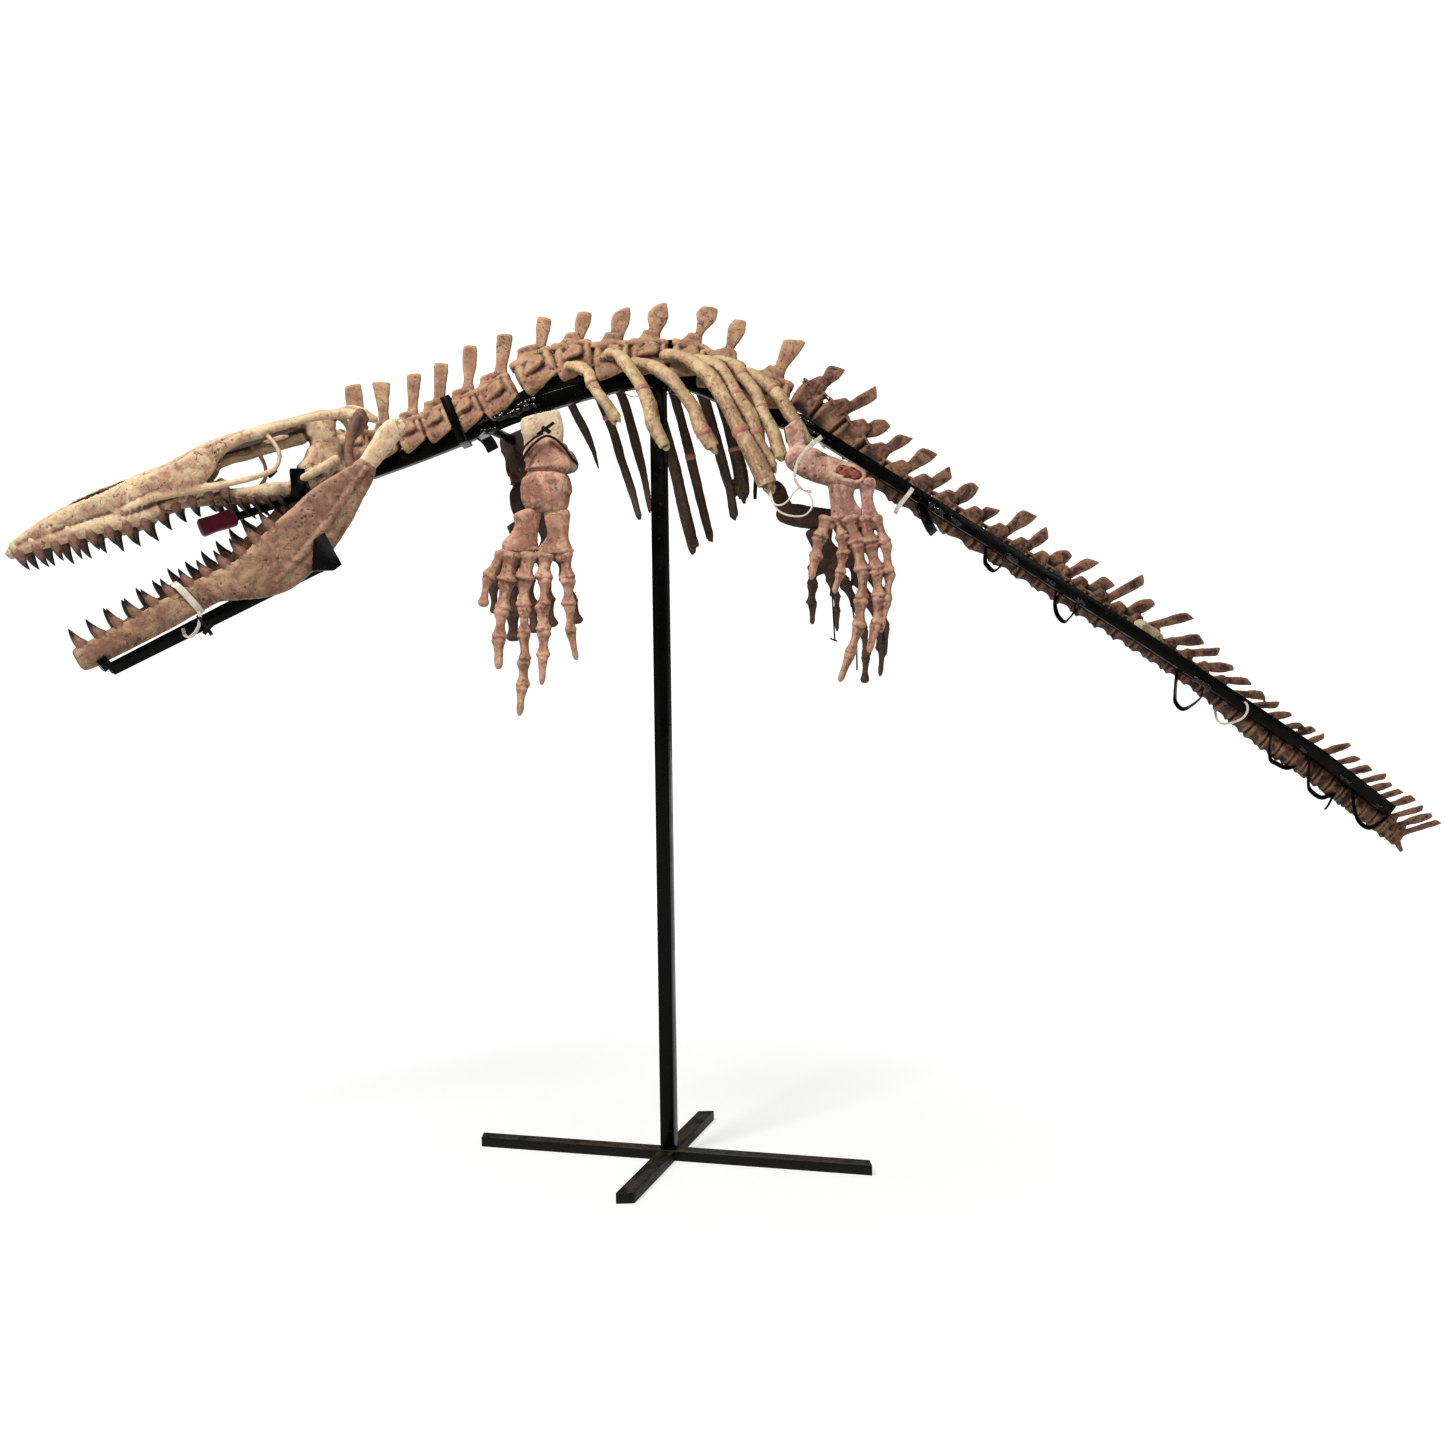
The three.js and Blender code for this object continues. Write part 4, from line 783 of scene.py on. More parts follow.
chance = np.random.RandomState(7)
for part, (first, end) in enumerate(zip(TAIL_LENGTHS, TAIL_LENGTHS[1:])):
    bodies, shells = [], []
    for i in range(first, end):
        x, z = tail_place(i)
        x2, z2 = tail_place(i + 1)
        x1, z1 = tail_place(i - 1) if i else (x - TAIL_STEP, z + 34)
        pitch = math.atan2(z1 - z2, x2 - x1)
        gap = 0.5 * math.hypot(x2 - x1, z2 - z1)
        r = tail_radius(x)
        loose = smoothstep(i, 24, 34)
        jolt = chance.uniform(-1, 1, 8)
        bodies.append(placing((x, jolt[0] * 2, z + jolt[1] * 2), (jolt[2] * 0.06, pitch + jolt[3] * 0.05, 0),
                              (gap * 0.93 / UNIT, r / UNIT, r * 1.12 / UNIT)))
        half = 17.5 - 9 * smoothstep(i, 5, 26)
        widths, slant = SPINE_SHAPES[(i * 5) % 4]
        tip = np.array((SPINE_TIPS[i][0], jolt[6] * 6 * loose, SPINE_TIPS[i][1]))
        root = np.array((x, 0, z)) + unit(tip - (x, 0, z)) * r * 0.6
        thick = 6.5 - 1.3 * smoothstep(i, 5, 28)
        shells.append(blade(root, tip, [w * half * 2 for w in widths], thick, slant))
        if not (part == 0 and i < 2):
            shells.append(loft([(x + 4, 0, z - r * 0.5, 12, 11), (x + 10, 0, z - r - 6, 8, 8),
                                (x + 18 + jolt[7] * 4, 0, z - r - 22, 5, 6)], points=10))
        if i < 5:
            reach = 92 - 9 * i
            shells.append(loft([(x, 14, z, 14, 11), (x + 5, reach * 0.55, z - 7, 12, 8),
                                (x + 12, reach, z - 16, 10, 6)], side=(1, 0, 0), points=14))
    finish = tail_finishes[min(part, 2)]
    shells.append(shell_of(set_out("bodies", body_template, bodies, finish)))
    slot = "bone" if part < 2 else "dark_bone"
    carved(f"tail_{part + 1}_bone", shells, finish, slot, f"tail_{part + 1}",
           voxel=2.8, soften=3, lump=6.0, grain=3.0, pit=1.4, seed=10.0 + part)


# ---- skull: one rigid fossil, pale, its openings framed by thin bars ----
# Snout and cheeks with the tooth sockets, a broad forehead, a narrow braincase, bars over and
# under the eye and temple openings, and the toothed bars of the palate. Cracks are filled.

HEAD_YAW = math.radians(25)
SKULL_PITCH = math.radians(21.5)
JAW_PITCH = math.radians(38)
OCCIPUT = Vector((-840, 0, 1995))


def head_frame(pitch):
    """Place of the skull or a jaw: x forward along it, y to the animal's left, z up."""
    forward = Vector((-math.cos(HEAD_YAW) * math.cos(pitch), -math.sin(HEAD_YAW) * math.cos(pitch),
                      -math.sin(pitch)))
    left = Vector((math.sin(HEAD_YAW), -math.cos(HEAD_YAW), 0))
    turn = Matrix((forward, left, forward.cross(left))).transposed().to_4x4()
    return Matrix.Translation(OCCIPUT) @ turn


SKULL = head_frame(SKULL_PITCH)
JAW = {1: head_frame(JAW_PITCH), -1: head_frame(JAW_PITCH) @ Matrix.Rotation(math.radians(-11), 4, "X")}


def mirrored(stations, side):
    return [(x, side * y, z, a, b) for x, y, z, a, b in stations]


def boxed(sections):
    """Stations on the middle line from [x, half width, low, high]."""
    return [(x, 0, (low + high) / 2, half, (high - low) / 2) for x, half, low, high in sections]


SNOUT = [(926, 15, -4, 16), (884, 38, 2, 41), (800, 56, -2, 64), (700, 74, -6, 84), (588, 92, -18, 93),
         (560, 96, 2, 94), (440, 106, 10, 99), (392, 104, 30, 108)]
ROOF = [(470, 92, 72, 101), (400, 108, 88, 111), (320, 110, 92, 116), (250, 116, 90, 115), (216, 98, 90, 116),
        (176, 62, 88, 118), (128, 44, 82, 118)]
PARIETAL = [(170, 40, 82, 120), (100, 26, 76, 119), (60, 22, 72, 117), (22, 24, 76, 106)]
TOOTH_RIM = [(924, 12, 6, 9, 12), (884, 29, 6, 11, 15), (800, 47, 2, 12, 19), (700, 66, -2, 12, 21),
             (630, 77, -12, 12, 22), (560, 87, -10, 10, 16)]
GUM = [(700, 62, 4, 6, 8), (650, 74, -4, 11, 14), (600, 80, -12, 12, 18), (556, 76, -2, 11, 17),
       (473, 77, 3, 10, 16), (402, 81, -1, 9, 15), (368, 84, -1, 7, 8)]
CHEEK = [(720, 56, 34, 6, 14), (640, 74, 36, 12, 28), (560, 88, 46, 14, 34), (470, 104, 46, 13, 42),
         (420, 108, 62, 12, 38), (392, 106, 78, 10, 26)]
LEDGE = [(690, 62, 12, 6, 8), (625, 84, 14, 10, 12), (560, 96, 20, 10, 13), (514, 102, 14, 9, 12),
         (450, 108, 4, 9, 12), (371, 122, -8, 8, 9), (310, 136, -14, 7, 8), (270, 139, -13, 7, 8)]
BROW = [(440, 97, 66, 11, 30), (404, 99, 72, 12, 26), (372, 102, 81, 12, 21), (340, 106, 88, 12, 15),
        (300, 110, 93, 12, 15), (255, 112, 93, 12, 17), (226, 106, 92, 10, 12)]
STRAP = [(262, 139, -14, 8, 7), (240, 138, 4, 8, 6), (229, 134, 30, 9, 6), (232, 120, 62, 10, 6),
         (240, 106, 88, 12, 8)]
TEMPORAL_BAR = [(250, 104, 94, 16, 13), (200, 116, 92, 12, 13), (150, 124, 90, 10, 11), (90, 128, 84, 10, 12),
                (40, 132, 74, 11, 15), (8, 140, 60, 12, 15), (-24, 143, 42, 11, 12), (-42, 141, 30, 10, 10)]
BACK_BAR = [(36, 8, 96, 12, 10), (10, 40, 92, 11, 10), (-10, 74, 86, 10, 11), (-26, 112, 64, 10, 10),
            (-30, 138, 44, 11, 10)]
KEEL = [(410, 0, 62, 15, 16), (370, 0, 58, 10, 11), (330, 0, 62, 11, 12), (290, 0, 56, 10, 9),
        (246, 0, 60, 12, 13), (190, 0, 58, 11, 13), (130, 0, 62, 18, 20)]
PALATE_BAR = [(520, 54, 4, 14, 10), (450, 58, -10, 12, 12), (390, 60, -22, 13, 13), (343, 62, -34, 13, 12),
              (300, 64, -44, 14, 17), (262, 66, -53, 14, 20), (225, 72, -62, 13, 16), (190, 82, -60, 10, 12)]
QUADRATE_WING = [(230, 74, -56, 10, 12), (204, 85, -53, 9, 11), (174, 100, -49, 8, 12),
                 (121, 128, -40, 8, 13), (92, 140, -34, 9, 12)]
BRAINCASE = [(72, 0, 88, 26, 46), (78, 0, 70, 30, 46), (78, 0, 42, 31, 38), (84, 0, 14, 32, 42),
             (104, 0, -10, 34, 48), (140, 0, -23, 32, 34), (172, 0, -24, 22, 20)]
BASAL_PROP = [(110, 22, -30, 14, 16), (150, 34, -38, 11, 12), (190, 46, -34, 12, 11)]

pale_skull_bone = fossil("pale cream fossil bone", "#d3bd9a", "#a68267", "#9b6b56", "#361d14", 0.11)
shells = [
    loft(boxed(SNOUT), square=(2.3, 4.5), points=36, steps=6, cap=0.6),
    loft(boxed(ROOF), square=(2.6, 4), points=30, steps=5, cap=0.3),
    loft(boxed(PARIETAL), square=2.6, points=18),
    loft(BRAINCASE, square=3, points=22, cap=0.2),
    loft([(60, 0, 20, 28, 28), (30, 0, 16, 22, 22), (6, 0, 12, 18, 18)], points=16, cap=0.3),
    loft(KEEL, points=14),
    loft([(118, -74, -50, 13, 11), (118, 0, -44, 12, 12), (118, 74, -50, 13, 11)], side=(0, 0, 1), points=14),
]
for side in (-1, 1):
    for bar in (TOOTH_RIM, GUM, CHEEK, BROW, LEDGE, TEMPORAL_BAR, PALATE_BAR, QUADRATE_WING, BASAL_PROP):
        shells.append(loft(mirrored(bar, side), points=16, square=2.4))
    shells.append(loft(mirrored(STRAP, side), points=14))
    shells.append(loft(mirrored(BACK_BAR, side), side=(1, 0, 0), points=14))

# Tooth sockets: a swollen collar of bone round the root of each tooth.
GUM_LINE = [  # x, side distance, height
    (930, 15, -2), (884, 29, -4), (800, 48, -12), (700, 67, -18), (640, 76, -26), (592, 81, -31),
    (552, 75, -17), (473, 75, -13), (402, 79, -17), (360, 82, -17),
]
TOOTH_STEP = 43
NEAR_TEETH, FAR_TEETH, PALATE_TEETH = 13, 12, 5
upper_row = []
for side, start, count in ((1, 904, NEAR_TEETH), (-1, 882, FAR_TEETH)):
    for i in range(count):
        x = start - TOOTH_STEP * i
        y, z = (np.interp(-x, [-p[0] for p in GUM_LINE], [p[k] for p in GUM_LINE]) for k in (1, 2))
        upper_row.append((x, side * y, z))
for x, y, z in upper_row:
    socket = [(x + 2, y * 0.93, z + 30, 10, 12), (x, y * 0.98, z + 12, 12, 12), (x - 1, y, z - 2, 10.5, 11)]
    shells.append(loft(socket, points=14, cap=0.35))
palate_row = [(398 - 34 * i, side * (60 + 1.5 * i), -34 - 8.5 * i)
              for side in (-1, 1) for i in range(PALATE_TEETH)]
for x, y, z in palate_row:
    shells.append(loft([(x, y, z + 10, 12, 12), (x - 1, y, z - 6, 10, 11)], points=12))

NOSTRIL = [(762, 40, 70, 4, 4), (738, 45, 68, 12, 9), (700, 51, 71, 17, 14), (650, 56, 77, 19, 15),
           (610, 56, 82, 18, 14), (580, 53, 86, 12, 10), (556, 48, 90, 4, 4)]
EYE_HOLLOW = [(440, 62, 74, 30, 10), (410, 62, 70, 34, 18), (360, 62, 66, 36, 24)]
holes = [moved(loft(mirrored(hole, side), points=16), SKULL)
         for side in (-1, 1) for hole in (NOSTRIL, EYE_HOLLOW)]
cutters = [new_object("hole", mesh_of("hole", [hole])) for hole in holes]
carved("skull_bone", [moved(shell, SKULL) for shell in shells], pale_skull_bone, "pale_bone", "cranium",
       voxel=3.35, soften=4, lump=4.5, grain=2.4, pit=1.4, seed=21.0, cutters=cutters)


# ---- upper teeth: curved cones of dark enamel, brown at the root and near black at the tip ----
# Each is set in its socket in the jaw or the palate and leans back a little.

# Fossil enamel: glassy, with fine ridges down the crown; the colour follows the height.
tooth_enamel, tree = new_material("dark fossil tooth enamel")
height = add(tree, "ShaderNodeAttribute", attribute_name="height").outputs["Fac"]
where = add(tree, "ShaderNodeTexCoord").outputs["Object"]
cloud = add(tree, "ShaderNodeTexNoise", {"Vector": where, "Scale": 1 / 0.008, "Detail": 4.0}).outputs["Fac"]
spread = add(tree, "ShaderNodeMath", {0: cloud, 1: 0.5}, operation="MULTIPLY").outputs[0]
level_up = add(tree, "ShaderNodeMath", {0: height, 1: spread}, operation="ADD").outputs[0]
share = add(tree, "ShaderNodeMapRange", {"Value": level_up, "From Min": 0.5, "From Max": 1.0},
            interpolation_type="SMOOTHSTEP").outputs[0]
sunk = add(tree, "ShaderNodeMapRange", {"Value": level_up, "From Min": 0.12, "From Max": -0.3},
           interpolation_type="SMOOTHSTEP").outputs[0]
root = add(tree, "ShaderNodeMix", {0: cloud, 6: rgb("#96705a"), 7: rgb("#54352a")},
           data_type="RGBA").outputs[2]
root = add(tree, "ShaderNodeMix", {0: sunk, 6: root, 7: rgb("#bfa385")}, data_type="RGBA").outputs[2]
colour = add(tree, "ShaderNodeMix", {0: share, 6: root, 7: rgb("#1d1110")}, data_type="RGBA").outputs[2]
rough = add(tree, "ShaderNodeMapRange", {"Value": share, "To Min": 0.55, "To Max": 0.28}).outputs[0]
relief = add(tree, "ShaderNodeBump", {"Height": cloud, "Strength": 0.4, "Distance": 0.6 * MM}).outputs[0]
shader = add(tree, "ShaderNodeBsdfPrincipled", {"Base Color": colour, "Roughness": rough, "Normal": relief})
add(tree, "ShaderNodeOutputMaterial", {"Surface": shader.outputs[0]})


def tooth_template(bend, least=0.0):
    """A tooth 100 tall and 100 in radius, its tip bent towards -X, with its height as an attribute.

    least is the lowest height: above 0 it makes a tooth that is dark down to its root, which paints shade on
    a far row.
    """
    rows = [(-64, 52), (-50, 86), (-32, 108), (-12, 117), (6, 112), (22, 96), (38, 78), (58, 55),
            (76, 33), (90, 15), (99, 3)]
    shell = loft([(-bend * (h / UNIT) ** 2, 0, h, r * 0.85, r) for h, r in rows],
                 points=14, steps=2, cap=0.2)
    mesh = mesh_of("tooth", [shell])
    heights = least + (1 - least) * shell[0][:, 2] / UNIT
    mesh.attributes.new("height", "FLOAT", "POINT").data.foreach_set("value", heights)
    mesh.shade_smooth()
    return mesh


DOWN_TURN = math.pi
# The far rows and the palate teeth start half way up the colour ramp, so they are dark nearly to the root:
# painted shade.
FAR_TOOTH_SHADE = 0.5
chance = np.random.RandomState(31)
shells = {"upper_teeth_left": [], "upper_teeth_right": []}
for x, y, z in upper_row:
    tall = (48 if x > 580 else 36) + chance.uniform(-7, 6)
    shells["upper_teeth_left" if y > 0 else "upper_teeth_right"].append(
        SKULL @ placing((x - 1, y, z - 1), (DOWN_TURN, chance.uniform(-0.05, 0.1), 0),
                        (0.125, 0.138, tall / UNIT)))
for x, y, z in palate_row:
    shells["upper_teeth_right"].append(
        SKULL @ placing((x - 1, y, z - 5), (DOWN_TURN, 0.3 + chance.uniform(-0.1, 0.1), 0),
                        (0.095, 0.105, 0.46)))
for name, places in shells.items():
    dark = 0.0 if "left" in name else FAR_TOOTH_SHADE
    fit(set_out(name, tooth_template(26, dark), places, tooth_enamel), tooth_enamel, "tooth", "cranium")


# ---- quadrates: the pillars that hang from the cheek bars and carry the jaw joints ----
# Dark fossil, hooked over at the top and widened at the foot where the jaw turns.

dark_bone = fossil("dark red-brown fossil bone", "#80604a", "#57392d", "#633a31", "#20100c")
QUADRATE = [(-14, 145, 60, 13, 14), (-2, 147, 50, 13, 19), (18, 149, 30, 11, 16), (42, 150, 6, 10, 14),
            (58, 150, -20, 10, 13), (67, 151, -44, 11, 13), (70, 152, -62, 13, 15), (68, 153, -76, 15, 17)]
QUADRATE_HOOK = [(-16, 147, 46, 9, 12), (-4, 150, 30, 7, 11), (18, 150, 12, 6, 9), (36, 150, 2, 6, 8)]
for label, side in (("left", 1), ("right", -1)):
    shells = [moved(loft(mirrored(bar, side), points=16), SKULL) for bar in (QUADRATE, QUADRATE_HOOK)]
    carved(f"quadrate_{label}_bone", shells, dark_bone, "dark_bone", f"quadrate_{label}",
           voxel=2.6, lump=3.0, grain=1.6, seed=24.0 + side)


# ---- lower jaws: two long fossil bones, deep behind the teeth, a slender heel past the joint ----
# Each is mended with pale filler. Twelve teeth stand in swollen sockets along the front half.

JAW_SIDE = [  # x, y, low, high, half thickness
    (34, 162, -78, -44, 8), (58, 160, -98, -38, 12), (86, 158, -114, -38, 14), (124, 155, -130, -36, 14),
    (170, 151, -152, -32, 14), (220, 147, -172, -34, 14), (270, 142, -190, -40, 14),
    (310, 136, -200, -44, 14), (345, 131, -204, -48, 14), (385, 124, -208, -52, 15),
    (420, 118, -204, -56, 16), (450, 112, -192, -60, 16), (482, 106, -174, -62, 16),
    (520, 98, -150, -58, 16), (560, 91, -126, -50, 16), (630, 78, -116, -42, 16),
    (700, 66, -108, -34, 16), (780, 50, -96, -28, 16), (850, 35, -84, -20, 17), (905, 26, -74, -11, 17),
    (926, 22, -66, -10, 16),
]
JAW_RIDGE = [(60, 12, -70, 6, 10), (140, 12, -92, 5, 12), (240, 12, -126, 5, 13), (330, 12, -150, 5, 12),
             (430, 13, -166, 5, 10)]
JAW_HEEL = [(-97, 170, -47, -27, 6), (-84, 169, -55, -10, 8), (-62, 168, -60, -1, 9), (-36, 167, -66, -6, 9),
            (0, 165, -75, -21, 9), (34, 163, -84, -33, 10), (64, 161, -92, -42, 9)]
LOWER_TEETH = 12
FIRST_TOOTH, LAST_TOOTH = 896, 350
heel_bone = fossil("pale grey-cream jaw heel bone", "#e2cfae", "#c9ac8c", "#b48f78", "#54362a", 0.12)
jaw_bone = fossil("tan jaw fossil bone", "#b09173", "#805e4a", "#7f5445", "#28140e", 0.12)


def jaw_slices(rows, side):
    """Stations of a jaw or of its heel, from [x, y, low, high, half thickness]."""
    return [(x, side * y, (low + high) / 2, thick, (high - low) / 2) for x, y, low, high, thick in rows]


def jaw_at(x):
    """Side distance, underside and top of a jaw at x."""
    (x1, y1, low1, high1, _), (x2, y2, low2, high2, _) = next(
        pair for pair in zip(JAW_SIDE, JAW_SIDE[1:]) if pair[1][0] > x)
    t = (x - x1) / (x2 - x1)
    return y1 + (y2 - y1) * t, low1 + (low2 - low1) * t, high1 + (high2 - high1) * t


chance = np.random.RandomState(41)
for label, side in (("left", 1), ("right", -1)):
    ridge = [(x, side * (jaw_at(x)[0] + bulge), z, a, b) for x, bulge, z, a, b in JAW_RIDGE]
    shells = [loft(jaw_slices(JAW_SIDE, side), square=2.6, points=34, steps=5, cap=0.3),
              loft(ridge, points=14)]
    places = []
    for i in range(LOWER_TEETH):
        x = FIRST_TOOTH + (LAST_TOOTH - FIRST_TOOTH) * i / (LOWER_TEETH - 1)
        y, _, high = jaw_at(x)
        shells.append(loft([(x - 4, side * y, high - 24, 13, 15), (x - 2, side * y, high - 4, 12, 13),
                            (x, side * y, high + 7, 10, 11)], points=14, cap=0.3))
        tilt = 0.06 + chance.uniform(-0.07, 0.07)
        tall = 46 + chance.uniform(-6, 5)
        places.append(JAW[side] @ placing((x, side * y, high + 6), (0, tilt, 0), (0.125, 0.14, tall / UNIT)))
    carved(f"jaw_{label}_bone", [moved(shell, JAW[side]) for shell in shells], jaw_bone, "bone",
           f"mandible_{label}", voxel=2.8, soften=4, lump=6.0, grain=3.0, pit=1.4, seed=30.0 + side)
    heel = moved(loft(jaw_slices(JAW_HEEL, side), square=2.6, points=26, cap=0.3), JAW[side])
    carved(f"jaw_heel_{label}_bone", [heel], heel_bone, "pale_bone", f"mandible_{label}",
           voxel=2.6, soften=3, lump=5.0, grain=2.4, pit=1.2, seed=34.0 + side)
    # The far jaw's teeth are dark nearly to the root: painted shade.
    tooth = tooth_template(24, 0.0 if side > 0 else FAR_TOOTH_SHADE)
    teeth = set_out(f"lower_teeth_{label}", tooth, places, tooth_enamel)
    fit(teeth, tooth_enamel, "tooth", f"mandible_{label}")


# ---- front flippers: blade bone, two cracked halves of the upper arm, forearm and hand ----
# The upper arm is short and broad. Five digits of hourglass bones hang from the wrist, wired
# through. The right flipper has lost the ends of its digits.

FRONT_Y = 190
SHOULDER = (-290, 2040)
UP_ARM = {  # slices [x, z, half across, half deep], top to bottom
    "scapula": [(-306, 2032, 49, 8), (-303, 2018, 55, 10), (-299, 1990, 57, 12), (-302, 1966, 57, 13),
                (-313, 1944, 45, 12), (-329, 1924, 26, 10), (-336, 1906, 13, 7)],
    "humerus_upper": [(-288, 1962, 38, 26), (-288, 1948, 52, 32), (-285, 1922, 60, 33), (-279, 1902, 70, 35),
                      (-277, 1890, 72, 35), (-277, 1880, 62, 29)],
    "humerus_lower": [(-290, 1896, 30, 12), (-290, 1880, 48, 22), (-290, 1862, 62, 33),
                      (-291, 1838, 68, 35), (-289, 1812, 67, 33), (-283, 1790, 54, 29),
                      (-282, 1777, 42, 25)],
    "radius": [(-344, 1778, 34, 18), (-342, 1768, 38, 20), (-344, 1734, 32, 15), (-352, 1704, 39, 16),
               (-358, 1684, 52, 18), (-358, 1672, 50, 17)],
    "ulna": [(-263, 1778, 32, 18), (-263, 1762, 36, 19), (-262, 1716, 28, 14), (-264, 1692, 36, 15),
             (-266, 1676, 47, 18), (-266, 1666, 46, 17)],
}
FRONT_DIGITS = [  # path of [x, z], joints, half thickness
    ([(-410, 1666), (-448, 1612), (-464, 1532)], 2, 15),
    ([(-386, 1666), (-404, 1570), (-420, 1480), (-427, 1368)], 4, 20),
    ([(-342, 1666), (-354, 1560), (-356, 1400), (-371, 1244)], 6, 18),
    ([(-294, 1666), (-302, 1570), (-303, 1480), (-309, 1324)], 5, 18),
    ([(-246, 1666), (-240, 1590), (-232, 1470), (-219, 1388)], 4, 17),
]
FRONT_WRIST = [(-398, 1662, 20), (-352, 1660, 24), (-296, 1658, 24), (-248, 1658, 24)]

phalanx_template = mesh_of("phalanx", [
    loft([(-50, 0, 0, 90, 94), (-42, 0, 0, 102, 108), (-28, 0, 0, 86, 88), (-8, 0, 0, 72, 68),
          (14, 0, 0, 72, 68), (32, 0, 0, 88, 90), (42, 0, 0, 102, 108), (50, 0, 0, 88, 92)],
         square=2.6, points=16, steps=2, cap=0.1)])
# The last bone of a digit: a stub that narrows to a worn, blunt end.
tip_template = mesh_of("digit tip", [
    loft([(-50, 0, 0, 90, 94), (-42, 0, 0, 104, 108), (-26, 0, 0, 84, 86), (0, 0, 0, 72, 70),
          (26, 0, 0, 72, 68), (42, 0, 0, 70, 64), (52, 0, 0, 52, 48)],
         square=2.4, points=16, steps=2, cap=0.2)])


def along_path(path, t):
    """Point at share t of the length of a smooth path of [x, z]."""
    fine = smooth_rows(path, 12)
    run = np.concatenate([[0], np.cumsum(np.linalg.norm(np.diff(fine, axis=0), axis=1))])
    return np.array([np.interp(t * run[-1], run, fine[:, k]) for k in (0, 1)])


def digit_shells(y, digits, kept, chance, place):
    """The waisted bones of the digits, kept of each at most, and their tips, as shells hung in place."""
    rows = {"bones": [], "tips": []}
    for path, joints, half in digits:
        count = min(joints, kept)
        for k in range(count):
            start, stop = along_path(path, k / joints), along_path(path, (k + 1) / joints)
            middle, run = (start + stop) / 2, stop - start
            slope = -math.atan2(run[1], run[0]) + chance.uniform(-0.09, 0.09)
            thick = half * (1.28 - 0.56 * k / joints) * chance.uniform(0.88, 1.12)
            last = k == joints - 1 and k > 1
            rows["tips" if last else "bones"].append(placing(
                (middle[0] + chance.uniform(-2, 2), y + chance.uniform(-5, 5), middle[1]),
                (chance.uniform(-0.6, 0.6), slope, chance.uniform(-0.12, 0.12)),
                (np.hypot(*run) * 0.98 / UNIT, thick * 0.78 / UNIT, thick / UNIT)))
    shells = []
    for name, template in (("bones", phalanx_template), ("tips", tip_template)):
        if rows[name]:
            shells.append(shell_of(set_out(name, template, [place @ m for m in rows[name]], pink_bone)))
    return shells


def flipper_shells(y, bones):
    """Shells of bones that hang as level slices."""
    shells = {}
    for bone, slices in bones.items():
        flat = 3.2 if bone == "scapula" else 2.5
        shells[bone] = [loft([(x, y, z, deep, across) for x, z, across, deep in slices],
                             square=flat, points=26, cap=0.25)]
    return shells


def wrist_shells(y, wrist):
    """The small bones of a wrist or an ankle, side by side, from [x, z, half across]."""
    return [loft([(x, y, z + 12, 12, half), (x, y, z - 4, 13, half * 0.95), (x, y, z - 14, 11, half * 0.8)],
                 square=2.6, points=18, cap=0.4) for x, z, half in wrist]


def hanging(pivot, swing, x, z):
    """Where a flipper hangs, swung about its girdle and shifted."""
    turn = Matrix.Rotation(math.radians(-swing), 4, "Y")
    return (Matrix.Translation((pivot[0] + x, 0, pivot[1] + z)) @ turn
            @ Matrix.Translation((-pivot[0], 0, -pivot[1])))


cream_bone = fossil("pale cream shoulder fossil", "#d0bea2", "#ac9679", "#9c7763", "#46301f")
pink_bone = fossil("pinkish tan fossil bone", "#c49c82", "#8f6651", "#8c5848", "#2f1811")
# The right flippers, on the far side, are darkened all over: painted shade.
far_shade_bone = fossil("umber fossil bone in painted shade", "#583f30", "#3a271e", "#42251c", "#150b07")
FRONT_HANG = {"left": (0, 0, 0, 6), "right": (10, -122, 30, 3)}
for label, side in (("left", -1), ("right", 1)):
    swing, x, z, kept = FRONT_HANG[label]
    place = hanging(SHOULDER, swing, x, z)
    chance = np.random.RandomState(50 + side)
    y = side * FRONT_Y
    made = flipper_shells(y, UP_ARM)
    made["hand"] = wrist_shells(y, FRONT_WRIST)
    made = {bone: [moved(shell, place) for shell in shells] for bone, shells in made.items()}
    made["hand"] += digit_shells(y, FRONT_DIGITS, kept, chance, place)
    for number, (bone, shells) in enumerate(made.items()):
        finish = far_shade_bone if side > 0 else cream_bone if bone == "scapula" else pink_bone
        slot = "dark_bone" if side > 0 else "bone"
        carved(f"front_{label}_{bone}_bone", shells, finish, slot, f"front_{label}_{bone}",
               voxel=2.6, soften=3, lump=6.0, grain=3.0, pit=1.4, seed=50.0 + number + side)


# ---- rear flippers: hip blade, thigh, two shin bones and a long five-toed foot ----
# Built and wired as the front pair. The left is pale pink at the thigh; the right hangs lower
# and further forward, its fossil darkened all over as painted shade.

REAR_Y = 172
HIP = (390, 1922)
LEG = {
    "ilium": [(356, 2000, 20, 9), (366, 1982, 24, 10), (370, 1954, 23, 11), (374, 1930, 22, 12),
              (378, 1916, 20, 12)],
    "tibia": [(490, 1852, 36, 18), (490, 1840, 40, 19), (489, 1806, 32, 15), (496, 1774, 37, 16),
              (501, 1758, 43, 18), (502, 1750, 40, 16)],
    "fibula": [(556, 1850, 22, 16), (557, 1838, 24, 17), (556, 1802, 16, 13), (560, 1768, 20, 14),
               (562, 1752, 25, 16), (562, 1742, 22, 14)],
}
FEMUR = [  # x, z, half deep, half high, front to back
    (352, 1922, 16, 22), (366, 1914, 22, 35), (400, 1898, 25, 42), (440, 1880, 25, 40), (482, 1866, 25, 38),
    (520, 1856, 25, 35), (546, 1850, 18, 24),
]
THIGH_SCARS = [(480, 1876, 24, 13), (500, 1868, 27, 17), (520, 1862, 21, 15)]  # x, z, half wide, half high
THIGH_FACE = -194  # y of the left face of the left thigh
